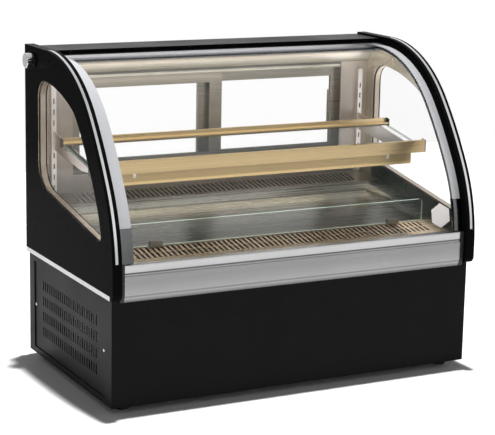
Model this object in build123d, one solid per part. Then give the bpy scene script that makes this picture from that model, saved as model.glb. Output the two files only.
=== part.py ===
from build123d import *
import math
import os

# Countertop refrigerated display case with a curved lift-up front glass.
# Millimetres, +X to the viewer's right, +Y to the rear, +Z up.
# The origin is the centre of the footprint on the counter.

# Overall sizes and common gaps
OVERALL_WIDTH = 900.0
OVERALL_DEPTH = 514.0
OVERALL_HEIGHT = 731.0
CUT = 1.0
HOLE_CLEARANCE = 0.3
RUNNING_GAP = 0.06
MOVING_GAP = 0.5

# Feet
FOOT_HEIGHT = 14.0
FOOT_RADIUS = 18.0
FOOT_INSET_X = 40.0
FOOT_INSET_Y = 42.0
FOOT_EDGE_RADIUS = 2.0
STUD_RADIUS = 4.0
STUD_LENGTH = 10.0

# Base cabinet
BASE_HEIGHT = 236.0
BASE_SIDE_INSET = 6.0
BASE_FRONT_INSET = 19.0
BASE_REAR_INSET = 5.0
SHEET = 1.5
PAN_THICKNESS = 2.0
PAN_FLANGE = 24.0
SIDE_FRAME_THICKNESS = 5.5
COVER_POCKET_DEPTH = 4.0
COVER_LEDGE = 14.0
COVER_GAP = 0.5
COVER_MARGIN_FRONT = 36.0
COVER_MARGIN_REAR = 30.0
COVER_MARGIN_BOTTOM = 14.0
COVER_MARGIN_TOP = 17.0
VENT_ROWS = 4
VENT_PITCH_Y = 13.2
VENT_PITCH_Z = 36.3
VENT_SLOT_WIDTH = 5.5
VENT_SLOT_HEIGHT = 23.5
VENT_SIDE_MARGIN = 48.0
COVER_SCREW_INSET = 9.0
SCREW_HEAD_RADIUS = 3.6
SCREW_HEAD_HEIGHT = 1.8
SCREW_SHANK_RADIUS = 1.7
REAR_VENT_COUNT = 20
REAR_VENT_PITCH = 20.0
REAR_VENT_WIDTH = 6.0
REAR_VENT_HEIGHT = 60.0
REAR_VENT_CENTRE_X = -40.0

# Side panels and the curve of their front edge
SIDE_THICKNESS = 22.0
CURVE_FOOT_ABOVE_BASE = 48.6
FLAT_TOP_DEPTH = 130.2
UPPER_BEND = 50.7
MIDDLE_RADIUS = 952.0
MIDDLE_BEND = 10.2
PANEL_CORNER_RADIUS = 16.0
PANEL_FIT = 0.2

# Side windows
WINDOW_RIM_WIDTH = 53.0
WINDOW_REAR_MARGIN = 84.0
WINDOW_TOP_MARGIN = 68.3
WINDOW_REAR_HEIGHT = 172.0
WINDOW_TOP_CENTRE = 24.0
WINDOW_SHOULDER_ANGLE = 40.4
WINDOW_TIP_RADIUS = 15.0
WINDOW_REAR_LOW_RADIUS = 60.0
WINDOW_REAR_HIGH_RADIUS = 44.0
WINDOW_SHOULDER_RADIUS = 60.0
WINDOW_PANE_THICKNESS = 4.0
WINDOW_PANE_LIP = 8.0
WINDOW_PANE_INSET = 1.0
WINDOW_SPACER_OUTSIDE = 4.0
WINDOW_SPACER_INSIDE = 2.0

# Trim strips and side knobs
RIM_TRIM_WIDTH = 6.0
RIM_TRIM_OUTER_INSET = 7.0
RIM_TRIM_DEPTH = 2.0
RIM_TRIM_PROUD = 0.4
RIM_TRIM_TAPER = 16.0
RIM_TRIM_END_ABOVE_BASE = 81.0
BOTTOM_TRIM_HEIGHT = 10.0
BOTTOM_TRIM_THICKNESS = 1.0
KNOB_RADIUS = 17.0
KNOB_LENGTH = 15.0
KNOB_FLUTES = 18
KNOB_FLUTE_RADIUS = 1.6
KNOB_WASHER_RADIUS = 14.0
KNOB_WASHER_THICKNESS = 4.5
KNOB_STUD_RADIUS = 4.0
KNOB_STUD_REACH = 14.0
KNOB_FROM_TOP = 31.0
KNOB_FROM_REAR = 55.0

# Front bumper
BUMPER_HEIGHT = 79.5
BUMPER_BOTTOM_DROP = 6.0
BUMPER_PROUD = 8.0
BUMPER_WALL = 4.0
BUMPER_FLANGE = 2.5
BUMPER_TOP_BAND = 18.5
BUMPER_TOP_SETBACK = 1.0
BUMPER_GROOVE = 5.0
BUMPER_GROOVE_DEPTH = 2.0
BUMPER_LIP_RUN = 16.0
BUMPER_LIP_DEPTH = 5.0
BUMPER_CAP_WIDTH = 9.0
BUMPER_CAP_PROUD = 1.2

# Sloped display deck and its air grilles
DISPLAY_SLOPE = 9.5
TUB_FLOOR = 20.0
TUB_SIDE_WALL = 28.0
TUB_FRONT_WALL = 12.5
LINER_SHEET = 1.2
LEDGE_FRONT_HEIGHT = 67.0
WELL_DEPTH = 22.0
WELL_SIDE_MARGIN = 36.0
WELL_RIM = 6.0
FRONT_GRILLE_DEPTH = 90.0
REAR_GRILLE_DEPTH = 76.0
GRILLE_SIDE_MARGIN = 22.0
GRILLE_SHEET = 1.5
GRILLE_SEAT = 12.0
GRILLE_SLOT_LENGTH = 26.0
GRILLE_SLOT_WIDTH = 5.6
GRILLE_PITCH = 12.3
GRILLE_ROWS = 2
GRILLE_ROW_PITCH = 29.0
GRILLE_END_MARGIN = 42.0
FRONT_GRILLE_SHIFT = 8.0
DEFLECTOR_HEIGHT = 50.0
DEFLECTOR_THICKNESS = 5.0
DEFLECTOR_HALF_WIDTH = 380.0
DEFLECTOR_CORNER = 9.0
DEFLECTOR_SETBACK = 2.0
DEFLECTOR_CLIP_LENGTH = 30.0
DEFLECTOR_CLIP_HEIGHT = 9.0
DEFLECTOR_CLIP_WALL = 1.5
DEFLECTOR_CLIP_FLOOR = 1.0
DEFLECTOR_CLIP_X = 300.0

# Rear wall with two sliding doors
REAR_FRAME_DEPTH = 47.0
SILL_HEIGHT = 42.0
DOOR_THICKNESS = 10.0
DOOR_STILE = 28.0
DOOR_HALF_SPAN = 364.0
DOOR_LAP = 28.0
MEETING_OVERLAP = 5.0
DOOR_END_GAP = 2.0
DOOR_GLASS = 4.0
DOOR_GLASS_LIP = 5.0
DOOR_SIDE_GAP = 0.35
DOOR_LIFT_GAP = 4.0
PULL_HEIGHT = 90.0
PULL_WIDTH = 14.0
PULL_INSET = 7.0
FLUSH_PULL_DEPTH = 2.5
BAR_PULL_DEPTH = 20.0
BAR_PULL_WALL = 4.0
TRACK_RIB = 3.0
TRACK_RIB_HEIGHT = 8.0
TRACK_PLATE = 4.0
JAMB_COVER = 12.0
JAMB_PLATE = 3.0

# Top cap, header and its lamp
CAP_DROP = 4.0
CAP_SHEET = 2.0
CAP_LIP_HEIGHT = 9.0
CAP_REAR_LIP = 50.0
CAP_REAR_SETBACK = 1.0
HEADER_FRONT_SETBACK = 18.0
HEADER_FACE_HEIGHT = 19.0
HEADER_HEIGHT = 60.06
HEADER_FLAT_DEPTH = 22.0
HEADER_SCOOP_RADIUS = 60.0
CEILING_LAMP_DEPTH = 18.0
CEILING_LAMP_HEIGHT = 9.0
CEILING_LAMP_HALF = 400.0
DIFFUSER_THICKNESS = 3.0
LAMP_WALL = 1.5

# Lift-up front glass
GLASS_SETBACK = 22.0
GLASS_THICKNESS = 5.0
GLASS_SIDE_GAP = 0.6
GLASS_BOTTOM_GAP = 1.5
GLASS_IN_RAIL = 10.0
HINGE_BEHIND_CURVE = 17.0
HINGE_BELOW_TOP = 19.0
HINGE_PIN_RADIUS = 3.0
HINGE_PIN_LENGTH = 8.0
RAIL_FRONT_REACH = 6.0
RAIL_REAR_REACH = 10.0
RAIL_ABOVE_HINGE = 4.0
RAIL_BELOW_HINGE = 12.0
CAP_BEHIND_HINGE = 2.5
BAND_WIDTH_LEFT = 33.0
BAND_WIDTH_RIGHT = 20.0
BAND_WALL = 2.0
CLAMP_HEIGHT = 73.5
CLAMP_WALL = 3.5
LABEL_FLAT_WIDTH = 48.0
LABEL_THICKNESS = 0.4
LABEL_CENTRE_X = 372.0
LABEL_ABOVE_BUMPER = 39.0

# Shelf on slotted pilasters
SHELF_SLOPE = 10.0
SHELF_SLOT = 5
SHELF_REACH = 268.0
SHELF_GLASS_DEPTH = 168.0
SHELF_GLASS_HALF = 418.0
SHELF_GLASS_THICKNESS = 6.0
SHELF_RAIL_HALF = 423.0
SHELF_RAIL_CAP = 2.5
RAIL_THICKNESS = 3.0
RAIL_LIP = 4.0
FRONT_RAIL_UP = 20.0
FRONT_RAIL_DOWN = 8.0
RAIL_SEAT = 11.0
RAIL_SEAT_THICKNESS = 2.5
REAR_RAIL_BACK = 6.0
REAR_RAIL_UP = 17.5
REAR_RAIL_LEG = 7.0
SHELF_LAMP_DEPTH = 26.0
SHELF_LAMP_HEIGHT = 31.0
SHELF_LAMP_HALF = 387.0
LAMP_CLIP_X = 322.0
LAMP_CLIP_WIDTH = 7.0
LAMP_CLIP_HEIGHT = 10.0
LAMP_CLIP_WALL = 1.2
PILASTER_WIDTH = 12.0
PILASTER_DEPTH = 10.0
PILASTER_WALL = 2.0
PILASTER_FROM_SIDE = 24.0
PILASTER_TOP_GAP = 19.3
PILASTER_SLOT_MARGIN = 15.5
PILASTER_SLOT_PITCH = 25.0
PILASTER_SLOT_WIDTH = 3.4
PILASTER_SLOT_HEIGHT = 12.0
BRACKET_THICKNESS = 2.5
BRACKET_HEEL_ABOVE_SLOT = 6.2
BRACKET_HEEL_HEIGHT = 42.0
BRACKET_TIP_HEIGHT = 11.0
BRACKET_TIP_SETBACK = 13.0
BRACKET_WAIST_REACH = 168.0
BRACKET_WAIST_HEIGHT = 32.0
BRACKET_HOOK_HEIGHT = 10.0
BRACKET_HOOK_REACH = 6.0

# Cooling unit in the base
COMPRESSOR_X = 150.0
COMPRESSOR_Y = 20.0
COMPRESSOR_RADIUS = 62.0
COMPRESSOR_HEIGHT = 150.0
COMPRESSOR_DOME = 34.0
COMPRESSOR_MOUNT_HEIGHT = 12.0
COMPRESSOR_MOUNT_RADIUS = 11.0
COMPRESSOR_PLATE = 3.0
COMPRESSOR_BOX_WIDTH = 50.0
COMPRESSOR_BOX_HEIGHT = 54.0
COMPRESSOR_BOX_REACH = 26.0
CONDENSER_INNER_X = -363.0
CONDENSER_THICKNESS = 44.0
CONDENSER_LENGTH = 260.0
CONDENSER_HEIGHT = 176.0
CONDENSER_Y = 10.0
FIN_PITCH = 9.0
FIN_GROOVE = 5.0
FIN_GROOVE_DEPTH = 5.0
FIN_END_PLATE = 12.0
CONDENSER_FAN_RADIUS = 72.0
CONDENSER_FAN_GAP = 22.0
CONDENSER_HUB_RADIUS = 20.0
CONDENSER_HUB_LENGTH = 16.0
CONDENSER_BLADES = 5
CONDENSER_BLADE_CHORD = 46.0
CONDENSER_SHAFT_RADIUS = 4.0
CONDENSER_MOTOR_RADIUS = 30.0
CONDENSER_MOTOR_LENGTH = 46.0
MOTOR_GAP = 6.0
MOTOR_STAND_WIDTH = 40.0
MOTOR_STAND_DEPTH = 28.0
BLADE_THICKNESS = 2.0
BLADE_ANGLE = 30.0
EVAPORATOR_HALF_WIDTH = 280.0
EVAPORATOR_DEPTH = 84.0
EVAPORATOR_HEIGHT = 46.0
EVAPORATOR_FRONT_Y = -30.0
EVAPORATOR_FAN_RADIUS = 29.0
EVAPORATOR_FAN_GAP = 12.0
EVAPORATOR_FAN_HEIGHT = 34.0
EVAPORATOR_HUB_RADIUS = 9.0
EVAPORATOR_HUB_LENGTH = 10.0
EVAPORATOR_BLADES = 4
EVAPORATOR_BLADE_CHORD = 16.0
EVAPORATOR_SHAFT_RADIUS = 2.5
EVAPORATOR_MOTOR_RADIUS = 14.0
EVAPORATOR_MOTOR_LENGTH = 30.0
EVAPORATOR_STAND_WIDTH = 18.0
EVAPORATOR_STAND_DEPTH = 20.0
PIPE_RADIUS = 3.0
PIPE_BEND = 14.0
PIPE_GAP = 0.5
DISCHARGE_Y = 112.0
DISCHARGE_Z = 120.0
LIQUID_X = -200.0
LIQUID_Y = -100.0
LIQUID_Z = 40.0
LIQUID_RISE_Y = 0.0
SUCTION_X = 250.0
SUCTION_Z = 110.0
DRIER_RADIUS = 9.0
DRIER_LENGTH = 60.0
DRIER_X = -300.0

# Controls and power inlet on the rear of the base
CONTROL_X = 330.0
CONTROL_Z = 165.0
CONTROL_WIDTH = 150.0
CONTROL_HEIGHT = 64.0
CONTROL_RECESS = 14.0
CONTROL_BOX_DEPTH = 46.0
SWITCH_OFFSET = -28.0
SWITCH_SPACING = 34.0
SWITCH_BEZEL_WIDTH = 19.0
SWITCH_BEZEL_HEIGHT = 30.0
SWITCH_BEZEL_PROUD = 2.0
SWITCH_BODY_WIDTH = 16.0
SWITCH_BODY_HEIGHT = 26.0
SWITCH_BODY_DEPTH = 16.0
SWITCH_CAVITY_DEPTH = 13.0
ROCKER_WIDTH = 11.0
ROCKER_HEIGHT = 20.0
ROCKER_SIDE_GAP = 0.4
ROCKER_END_GAP = 1.2
ROCKER_DEPTH = 7.0
ROCKER_PROUD = 1.5
ROCKER_TILT = 8.0
ROCKER_PIN_RADIUS = 1.2
ROCKER_PIN_REACH = 1.6
DIAL_OFFSET = 44.0
DIAL_RADIUS = 14.0
DIAL_LENGTH = 11.0
DIAL_SHAFT_RADIUS = 3.0
DIAL_SHAFT_REACH = 12.0
DIAL_FLUTES = 12
DIAL_MARK_WIDTH = 2.0
THERMOSTAT_WIDTH = 34.0
THERMOSTAT_HEIGHT = 40.0
THERMOSTAT_DEPTH = 22.0
INLET_X = -360.0
INLET_Z = 70.0
INLET_WIDTH = 28.0
INLET_HEIGHT = 20.0
INLET_DEPTH = 22.0
INLET_FLANGE_WIDTH = 50.0
INLET_FLANGE_HEIGHT = 26.0
INLET_FLANGE = 2.5
INLET_WALL = 2.0
INLET_PIN_WIDTH = 2.0
INLET_PIN_HEIGHT = 4.0
INLET_PIN_SPACING = 7.0
INLET_EARTH_LIFT = 4.0

# Planes that the pieces share
SIDE_OUTER_X = OVERALL_WIDTH / 2
SIDE_INNER_X = SIDE_OUTER_X - SIDE_THICKNESS
INNER_HALF = SIDE_INNER_X - PANEL_FIT
PANEL_FRONT_Y = -OVERALL_DEPTH / 2
PANEL_REAR_Y = OVERALL_DEPTH / 2
PANEL_TOP_Z = OVERALL_HEIGHT
BASE_HALF = SIDE_OUTER_X - BASE_SIDE_INSET
BASE_FRONT_Y = PANEL_FRONT_Y + BASE_FRONT_INSET
BASE_REAR_Y = PANEL_REAR_Y - BASE_REAR_INSET
BASE_BOTTOM_Z = FOOT_HEIGHT
BASE_TOP_Z = BASE_BOTTOM_Z + BASE_HEIGHT
PAN_TOP_Z = BASE_BOTTOM_Z + PAN_THICKNESS
REAR_WALL_Y = BASE_REAR_Y - REAR_FRAME_DEPTH
TUB_FRONT_Y = BASE_FRONT_Y + SHEET
GRILLE_FRONT_Y = TUB_FRONT_Y + TUB_FRONT_WALL
SLOPE = math.tan(math.radians(DISPLAY_SLOPE))
SHELF_RISE = math.tan(math.radians(SHELF_SLOPE))
LOWER_BEND = 90.0 - UPPER_BEND - MIDDLE_BEND
LOW_JOINT = math.radians(LOWER_BEND)
HIGH_JOINT = math.radians(LOWER_BEND + MIDDLE_BEND)


def curve_radii():
    """Lower and upper radius that fill the curve's run and rise round the middle arc."""
    run = OVERALL_DEPTH - FLAT_TOP_DEPTH
    rise = PANEL_TOP_Z - BASE_TOP_Z - CURVE_FOOT_ABOVE_BASE
    run -= MIDDLE_RADIUS * (math.cos(LOW_JOINT) - math.cos(HIGH_JOINT))
    rise -= MIDDLE_RADIUS * (math.sin(HIGH_JOINT) - math.sin(LOW_JOINT))
    lower_run = 1.0 - math.cos(LOW_JOINT)
    lower_rise = math.sin(LOW_JOINT)
    upper_run = math.cos(HIGH_JOINT)
    upper_rise = 1.0 - math.sin(HIGH_JOINT)
    scale = lower_run * upper_rise - upper_run * lower_rise
    lower = (run * upper_rise - rise * upper_run) / scale
    upper = (rise * lower_run - run * lower_rise) / scale
    return lower, upper


LOWER_RADIUS, UPPER_RADIUS = curve_radii()


def curve_joints(inset):
    """Tangent joints of the front edge curve, moved inwards by inset, as (y, z) pairs."""
    low = LOW_JOINT
    high = HIGH_JOINT
    foot = (PANEL_FRONT_Y + inset, BASE_TOP_Z + CURVE_FOOT_ABOVE_BASE)
    lower = LOWER_RADIUS - inset
    middle = MIDDLE_RADIUS - inset
    upper = UPPER_RADIUS - inset
    first = (foot[0] + lower * (1.0 - math.cos(low)), foot[1] + lower * math.sin(low))
    second = (
        first[0] + middle * (math.cos(low) - math.cos(high)),
        first[1] + middle * (math.sin(high) - math.sin(low)),
    )
    crown = (second[0] + upper * math.cos(high), second[1] + upper * (1.0 - math.sin(high)))
    return foot, first, second, crown


def ledge_z(y):
    """Height of the sloped ledge plane that the grilles lie on."""
    return BASE_TOP_Z + LEDGE_FRONT_HEIGHT + (y - GRILLE_FRONT_Y) * SLOPE


CROWN_Y = curve_joints(0.0)[3][0]
HINGE_Y = CROWN_Y + HINGE_BEHIND_CURVE
HINGE_Z = PANEL_TOP_Z - HINGE_BELOW_TOP
RAIL_FRONT_Y = HINGE_Y - RAIL_FRONT_REACH
CAP_FRONT_Y = HINGE_Y + CAP_BEHIND_HINGE
CAP_TOP_Z = PANEL_TOP_Z - CAP_DROP
CAP_REAR_Y = BASE_REAR_Y - CAP_REAR_SETBACK
BUMPER_BOTTOM_Z = BASE_TOP_Z - BUMPER_BOTTOM_DROP
BUMPER_TOP_Z = BUMPER_BOTTOM_Z + BUMPER_HEIGHT
BUMPER_FRONT_Y = BASE_FRONT_Y - BUMPER_PROUD
BUMPER_HALF = INNER_HALF - MOVING_GAP - BUMPER_CAP_WIDTH
GLASS_BOTTOM_Z = BUMPER_TOP_Z + GLASS_BOTTOM_GAP
GLASS_HALF = SIDE_INNER_X - GLASS_SIDE_GAP
CLAMP_TOP_Z = BUMPER_TOP_Z + CLAMP_HEIGHT
WELL_FRONT_Y = GRILLE_FRONT_Y + FRONT_GRILLE_DEPTH
WELL_REAR_Y = REAR_WALL_Y - REAR_GRILLE_DEPTH
WELL_HALF = SIDE_INNER_X - WELL_SIDE_MARGIN
GRILLE_HALF = SIDE_INNER_X - GRILLE_SIDE_MARGIN
DEFLECTOR_REAR_Y = WELL_FRONT_Y - DEFLECTOR_SETBACK
DEFLECTOR_FRONT_Y = DEFLECTOR_REAR_Y - DEFLECTOR_THICKNESS
DEFLECTOR_BOTTOM_Z = ledge_z(DEFLECTOR_REAR_Y) + GRILLE_SHEET + DEFLECTOR_CLIP_FLOOR
CAVITY_HALF = INNER_HALF - TUB_SIDE_WALL
CAVITY_FLOOR_Z = BASE_TOP_Z + TUB_FLOOR
SILL_BOTTOM_Z = ledge_z(REAR_WALL_Y) - LINER_SHEET
SILL_TOP_Z = SILL_BOTTOM_Z + SILL_HEIGHT
JAMB_HALF = DOOR_HALF_SPAN + DOOR_END_GAP
DOOR_BOTTOM_Z = SILL_TOP_Z + TRACK_PLATE + DOOR_SIDE_GAP
HEADER_FRONT_Y = CAP_FRONT_Y + HEADER_FRONT_SETBACK
HEADER_REAR_Y = CAP_REAR_Y - CAP_SHEET
HEADER_TOP_Z = CAP_TOP_Z - CAP_SHEET
HEADER_FACE_Z = HEADER_TOP_Z - HEADER_FACE_HEIGHT
HEADER_BOTTOM_Z = HEADER_TOP_Z - HEADER_HEIGHT
DOOR_TOP_Z = HEADER_BOTTOM_Z - TRACK_PLATE - DOOR_LIFT_GAP
TRACK_FRONT_Y = REAR_WALL_Y + JAMB_PLATE
FRONT_DOOR_Y = TRACK_FRONT_Y + TRACK_RIB / 2 + DOOR_SIDE_GAP
REAR_DOOR_Y = FRONT_DOOR_Y + DOOR_THICKNESS + TRACK_RIB + 2 * DOOR_SIDE_GAP
TRACK_REAR_Y = REAR_DOOR_Y + DOOR_THICKNESS + DOOR_SIDE_GAP + TRACK_RIB / 2
KNOB_Y = PANEL_REAR_Y - KNOB_FROM_REAR
KNOB_Z = PANEL_TOP_Z - KNOB_FROM_TOP
PILASTER_X = SIDE_INNER_X - PILASTER_FROM_SIDE
PILASTER_FRONT_Y = REAR_WALL_Y - PILASTER_DEPTH
PILASTER_BOTTOM_Z = ledge_z(REAR_WALL_Y) + GRILLE_SHEET
PILASTER_TOP_Z = HEADER_BOTTOM_Z - PILASTER_TOP_GAP
FIRST_SLOT_Z = PILASTER_BOTTOM_Z + PILASTER_SLOT_MARGIN
SHELF_SLOT_Z = FIRST_SLOT_Z + SHELF_SLOT * PILASTER_SLOT_PITCH
SHELF_HEEL_Z = SHELF_SLOT_Z + BRACKET_HEEL_ABOVE_SLOT
SHELF_FRONT_Y = PILASTER_FRONT_Y - SHELF_REACH
SHELF_REAR_Y = SHELF_FRONT_Y + SHELF_GLASS_DEPTH
CONTROL_FACE_Y = BASE_REAR_Y - CONTROL_RECESS
SWITCH_FACE_Y = CONTROL_FACE_Y + SWITCH_BEZEL_PROUD
ROCKER_AXIS_Y = SWITCH_FACE_Y + ROCKER_PROUD - ROCKER_DEPTH / 2
SWITCH_X = CONTROL_X + SWITCH_OFFSET
DIAL_X = CONTROL_X + DIAL_OFFSET
CONDENSER_FAN_Z = PAN_TOP_Z + CONDENSER_HEIGHT / 2
CONDENSER_HUB_X = CONDENSER_INNER_X + CONDENSER_FAN_GAP
EVAPORATOR_HUB_Y = EVAPORATOR_FRONT_Y + EVAPORATOR_DEPTH + EVAPORATOR_FAN_GAP
EVAPORATOR_FAN_Z = CAVITY_FLOOR_Z + EVAPORATOR_FAN_HEIGHT
COMPRESSOR_BASE_Z = PAN_TOP_Z + COMPRESSOR_MOUNT_HEIGHT
UPRIGHT = (Align.CENTER, Align.CENTER, Align.MIN)


# Building helpers
def box_between(xs, ys, zs):
    """Box between two X, two Y and two Z planes."""
    size = Box(xs[1] - xs[0], ys[1] - ys[0], zs[1] - zs[0], align=(Align.MIN, Align.MIN, Align.MIN))
    return Pos(xs[0], ys[0], zs[0]) * size


def along_x(face, x_start, x_end):
    """Extrude a (y, z) face between two X planes."""
    return Plane.YZ.offset(x_start) * extrude(face, x_end - x_start)


def side_polygon(points):
    """Closed (y, z) face from corner points."""
    return make_face(Polyline(*points, close=True))


def pair(shape):
    """A right-hand piece and its mirrored left-hand twin."""
    return [shape, mirror(shape, about=Plane.YZ)]


def rod_x(radius, x_start, x_end, y, z):
    """Round rod along X."""
    return Pos(x_start, y, z) * Rot(0, 90, 0) * Cylinder(radius, x_end - x_start, align=UPRIGHT)


def rod_y(radius, x, y_start, y_end, z):
    """Round rod along Y."""
    return Pos(x, y_start, z) * Rot(-90, 0, 0) * Cylinder(radius, y_end - y_start, align=UPRIGHT)


def fluted_disc(radius, length, flutes, flute_radius):
    """Knob body along +Z with flutes round its edge and a softened front."""
    body = Cylinder(radius, length, align=UPRIGHT)
    body = fillet(body.edges().group_by(Axis.Z)[-1], flute_radius)
    cutter = Cylinder(flute_radius, 4 * length)
    return body - PolarLocations(radius + flute_radius / 2, flutes) * cutter


def fan_wheel(radius, hub_radius, hub_length, bore, blades, chord):
    """Axial fan wheel about Z, centred on its hub."""
    wheel = Cylinder(hub_radius, hub_length)
    reach = radius - hub_radius / 2
    blade = Box(reach, chord, BLADE_THICKNESS, align=(Align.MIN, Align.CENTER, Align.CENTER))
    blade = Pos(hub_radius / 2, 0, 0) * Rot(BLADE_ANGLE, 0, 0) * blade
    for turn in range(blades):
        wheel += Rot(0, 0, turn * 360.0 / blades) * blade
    wheel = wheel & Cylinder(radius, 2 * chord)
    return wheel - Cylinder(bore, 2 * chord)


def fin_block(length, thickness, height):
    """Coil block standing on Z=0 with upright fins on both broad faces."""
    count = int((length - 2 * FIN_END_PLATE) / FIN_PITCH)
    grooves = GridLocations(FIN_PITCH, thickness, count, 2)
    outline = Rectangle(length, thickness) - grooves * Rectangle(FIN_GROOVE, 2 * FIN_GROOVE_DEPTH)
    return extrude(outline, height)


def pipe(*points):
    """Bent tube solid along a path of corner points."""
    path = FilletPolyline(*points, radius=PIPE_BEND)
    return sweep(Plane(origin=path @ 0, z_dir=path % 0) * Circle(PIPE_RADIUS), path=path)


def curve_path(inset, start_y, end_z):
    """Front edge curve moved inwards by inset, from the flat top down to end_z."""
    foot, first, second, crown = curve_joints(inset)
    flat = Line((start_y, crown[1]), crown)
    upper = JernArc(crown, (-1, 0), UPPER_RADIUS - inset, UPPER_BEND)
    middle = JernArc(upper @ 1, upper % 1, MIDDLE_RADIUS - inset, MIDDLE_BEND)
    lower = JernArc(middle @ 1, middle % 1, LOWER_RADIUS - inset, LOWER_BEND)
    return [flat, upper, middle, lower, Line(lower @ 1, (foot[0], end_z))]


def curved_band(outer_inset, inner_inset, start_y, low_z, high_z):
    """Face between two insets of the front edge curve and two levels."""
    outer = curve_path(outer_inset, start_y, BASE_TOP_Z)
    inner = curve_path(inner_inset, start_y, BASE_TOP_Z)
    ends = [Line(outer[0] @ 0, inner[0] @ 0), Line(outer[-1] @ 1, inner[-1] @ 1)]
    face = make_face(Wire([*outer, *inner, *ends]))
    keep = Rectangle(2 * OVERALL_DEPTH, high_z - low_z, align=(Align.CENTER, Align.MIN))
    return face & (Pos(0, low_z) * keep)


def ledge_strip(y_start, y_end, top_drop, thickness):
    """Side face of a sheet that lies top_drop below the ledge plane."""
    return side_polygon(
        [
            (y_start, ledge_z(y_start) - top_drop),
            (y_end, ledge_z(y_end) - top_drop),
            (y_end, ledge_z(y_end) - top_drop - thickness),
            (y_start, ledge_z(y_start) - top_drop - thickness),
        ]
    )


def shelf_z(y):
    """Height of the sloped top edge of the shelf brackets."""
    return SHELF_HEEL_Z + (y - PILASTER_FRONT_Y) * SHELF_RISE


def shelf_strip(y_start, y_end, low, high):
    """Side face between two heights above the bracket tops."""
    return side_polygon(
        [
            (y_start, shelf_z(y_start) + low),
            (y_end, shelf_z(y_end) + low),
            (y_end, shelf_z(y_end) + high),
            (y_start, shelf_z(y_start) + high),
        ]
    )


# Feet and base cabinet
def foot_places():
    x = BASE_HALF - FOOT_INSET_X
    front = BASE_FRONT_Y + FOOT_INSET_Y
    rear = BASE_REAR_Y - FOOT_INSET_Y
    return [(-x, front), (x, front), (-x, rear), (x, rear)]


def rubber_feet():
    pad = Cylinder(FOOT_RADIUS, FOOT_HEIGHT, align=UPRIGHT)
    pad = fillet(pad.edges().group_by(Axis.Z)[0], FOOT_EDGE_RADIUS)
    foot = pad + Pos(0, 0, FOOT_HEIGHT) * Cylinder(STUD_RADIUS, STUD_LENGTH, align=UPRIGHT)
    mount = Cylinder(COMPRESSOR_MOUNT_RADIUS, COMPRESSOR_MOUNT_HEIGHT, align=UPRIGHT)
    feet = [Pos(x, y, 0) * foot for x, y in foot_places()]
    for x in (-COMPRESSOR_RADIUS, COMPRESSOR_RADIUS):
        for y in (-COMPRESSOR_RADIUS, COMPRESSOR_RADIUS):
            feet.append(Pos(COMPRESSOR_X + x, COMPRESSOR_Y + y, PAN_TOP_Z) * mount)
    return feet


def base_pan():
    half = BASE_HALF - SIDE_FRAME_THICKNESS
    front = BASE_FRONT_Y + SHEET
    rear = BASE_REAR_Y - SHEET
    flange_z = BASE_BOTTOM_Z + PAN_FLANGE
    pan = box_between((-half, half), (front, rear), (BASE_BOTTOM_Z, flange_z))
    hollow_xs = (-half + SHEET, half - SHEET)
    pan -= box_between(hollow_xs, (front + SHEET, rear - SHEET), (PAN_TOP_Z, flange_z + CUT))
    hole = Cylinder(STUD_RADIUS + HOLE_CLEARANCE, 4 * PAN_THICKNESS)
    for x, y in foot_places():
        pan -= Pos(x, y, BASE_BOTTOM_Z) * hole
    return [pan]


def cover_span():
    """Y and Z limits of the pocket that takes a side vent cover."""
    ys = (BASE_FRONT_Y + COVER_MARGIN_FRONT, BASE_REAR_Y - COVER_MARGIN_REAR)
    zs = (BASE_BOTTOM_Z + COVER_MARGIN_BOTTOM, BASE_TOP_Z - COVER_MARGIN_TOP)
    return ys, zs


def cover_screw_places():
    ys, zs = cover_span()
    middle = (zs[0] + zs[1]) / 2
    return [(ys[0] + COVER_SCREW_INSET, middle), (ys[1] - COVER_SCREW_INSET, middle)]


def base_side_frames():
    ys, zs = cover_span()
    inner = BASE_HALF - SIDE_FRAME_THICKNESS
    frame_ys = (BASE_FRONT_Y + SHEET, BASE_REAR_Y - SHEET)
    frame = box_between((inner, BASE_HALF), frame_ys, (BASE_BOTTOM_Z, BASE_TOP_Z))
    frame -= box_between((BASE_HALF - COVER_POCKET_DEPTH, BASE_HALF + CUT), ys, zs)
    frame -= box_between(
        (inner - CUT, BASE_HALF),
        (ys[0] + COVER_LEDGE, ys[1] - COVER_LEDGE),
        (zs[0] + COVER_LEDGE, zs[1] - COVER_LEDGE),
    )
    for y, z in cover_screw_places():
        frame -= rod_x(SCREW_SHANK_RADIUS, inner - CUT, BASE_HALF, y, z)
    return pair(frame)


def side_vent_covers():
    ys, zs = cover_span()
    inner = BASE_HALF - COVER_POCKET_DEPTH
    cover = box_between(
        (inner, inner + SHEET),
        (ys[0] + COVER_GAP, ys[1] - COVER_GAP),
        (zs[0] + COVER_GAP, zs[1] - COVER_GAP),
    )
    columns = int((ys[1] - ys[0] - 2 * VENT_SIDE_MARGIN) / VENT_PITCH_Y) + 1
    slots = GridLocations(VENT_PITCH_Y, VENT_PITCH_Z, columns, VENT_ROWS)
    outline = Sketch() + slots * SlotOverall(VENT_SLOT_HEIGHT, VENT_SLOT_WIDTH, rotation=90)
    centre = Pos((ys[0] + ys[1]) / 2, (zs[0] + zs[1]) / 2)
    cover -= along_x(centre * outline, inner - CUT, inner + SHEET + CUT)
    for y, z in cover_screw_places():
        cover -= rod_x(SCREW_SHANK_RADIUS, inner - CUT, BASE_HALF, y, z)
    return pair(cover)


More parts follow.
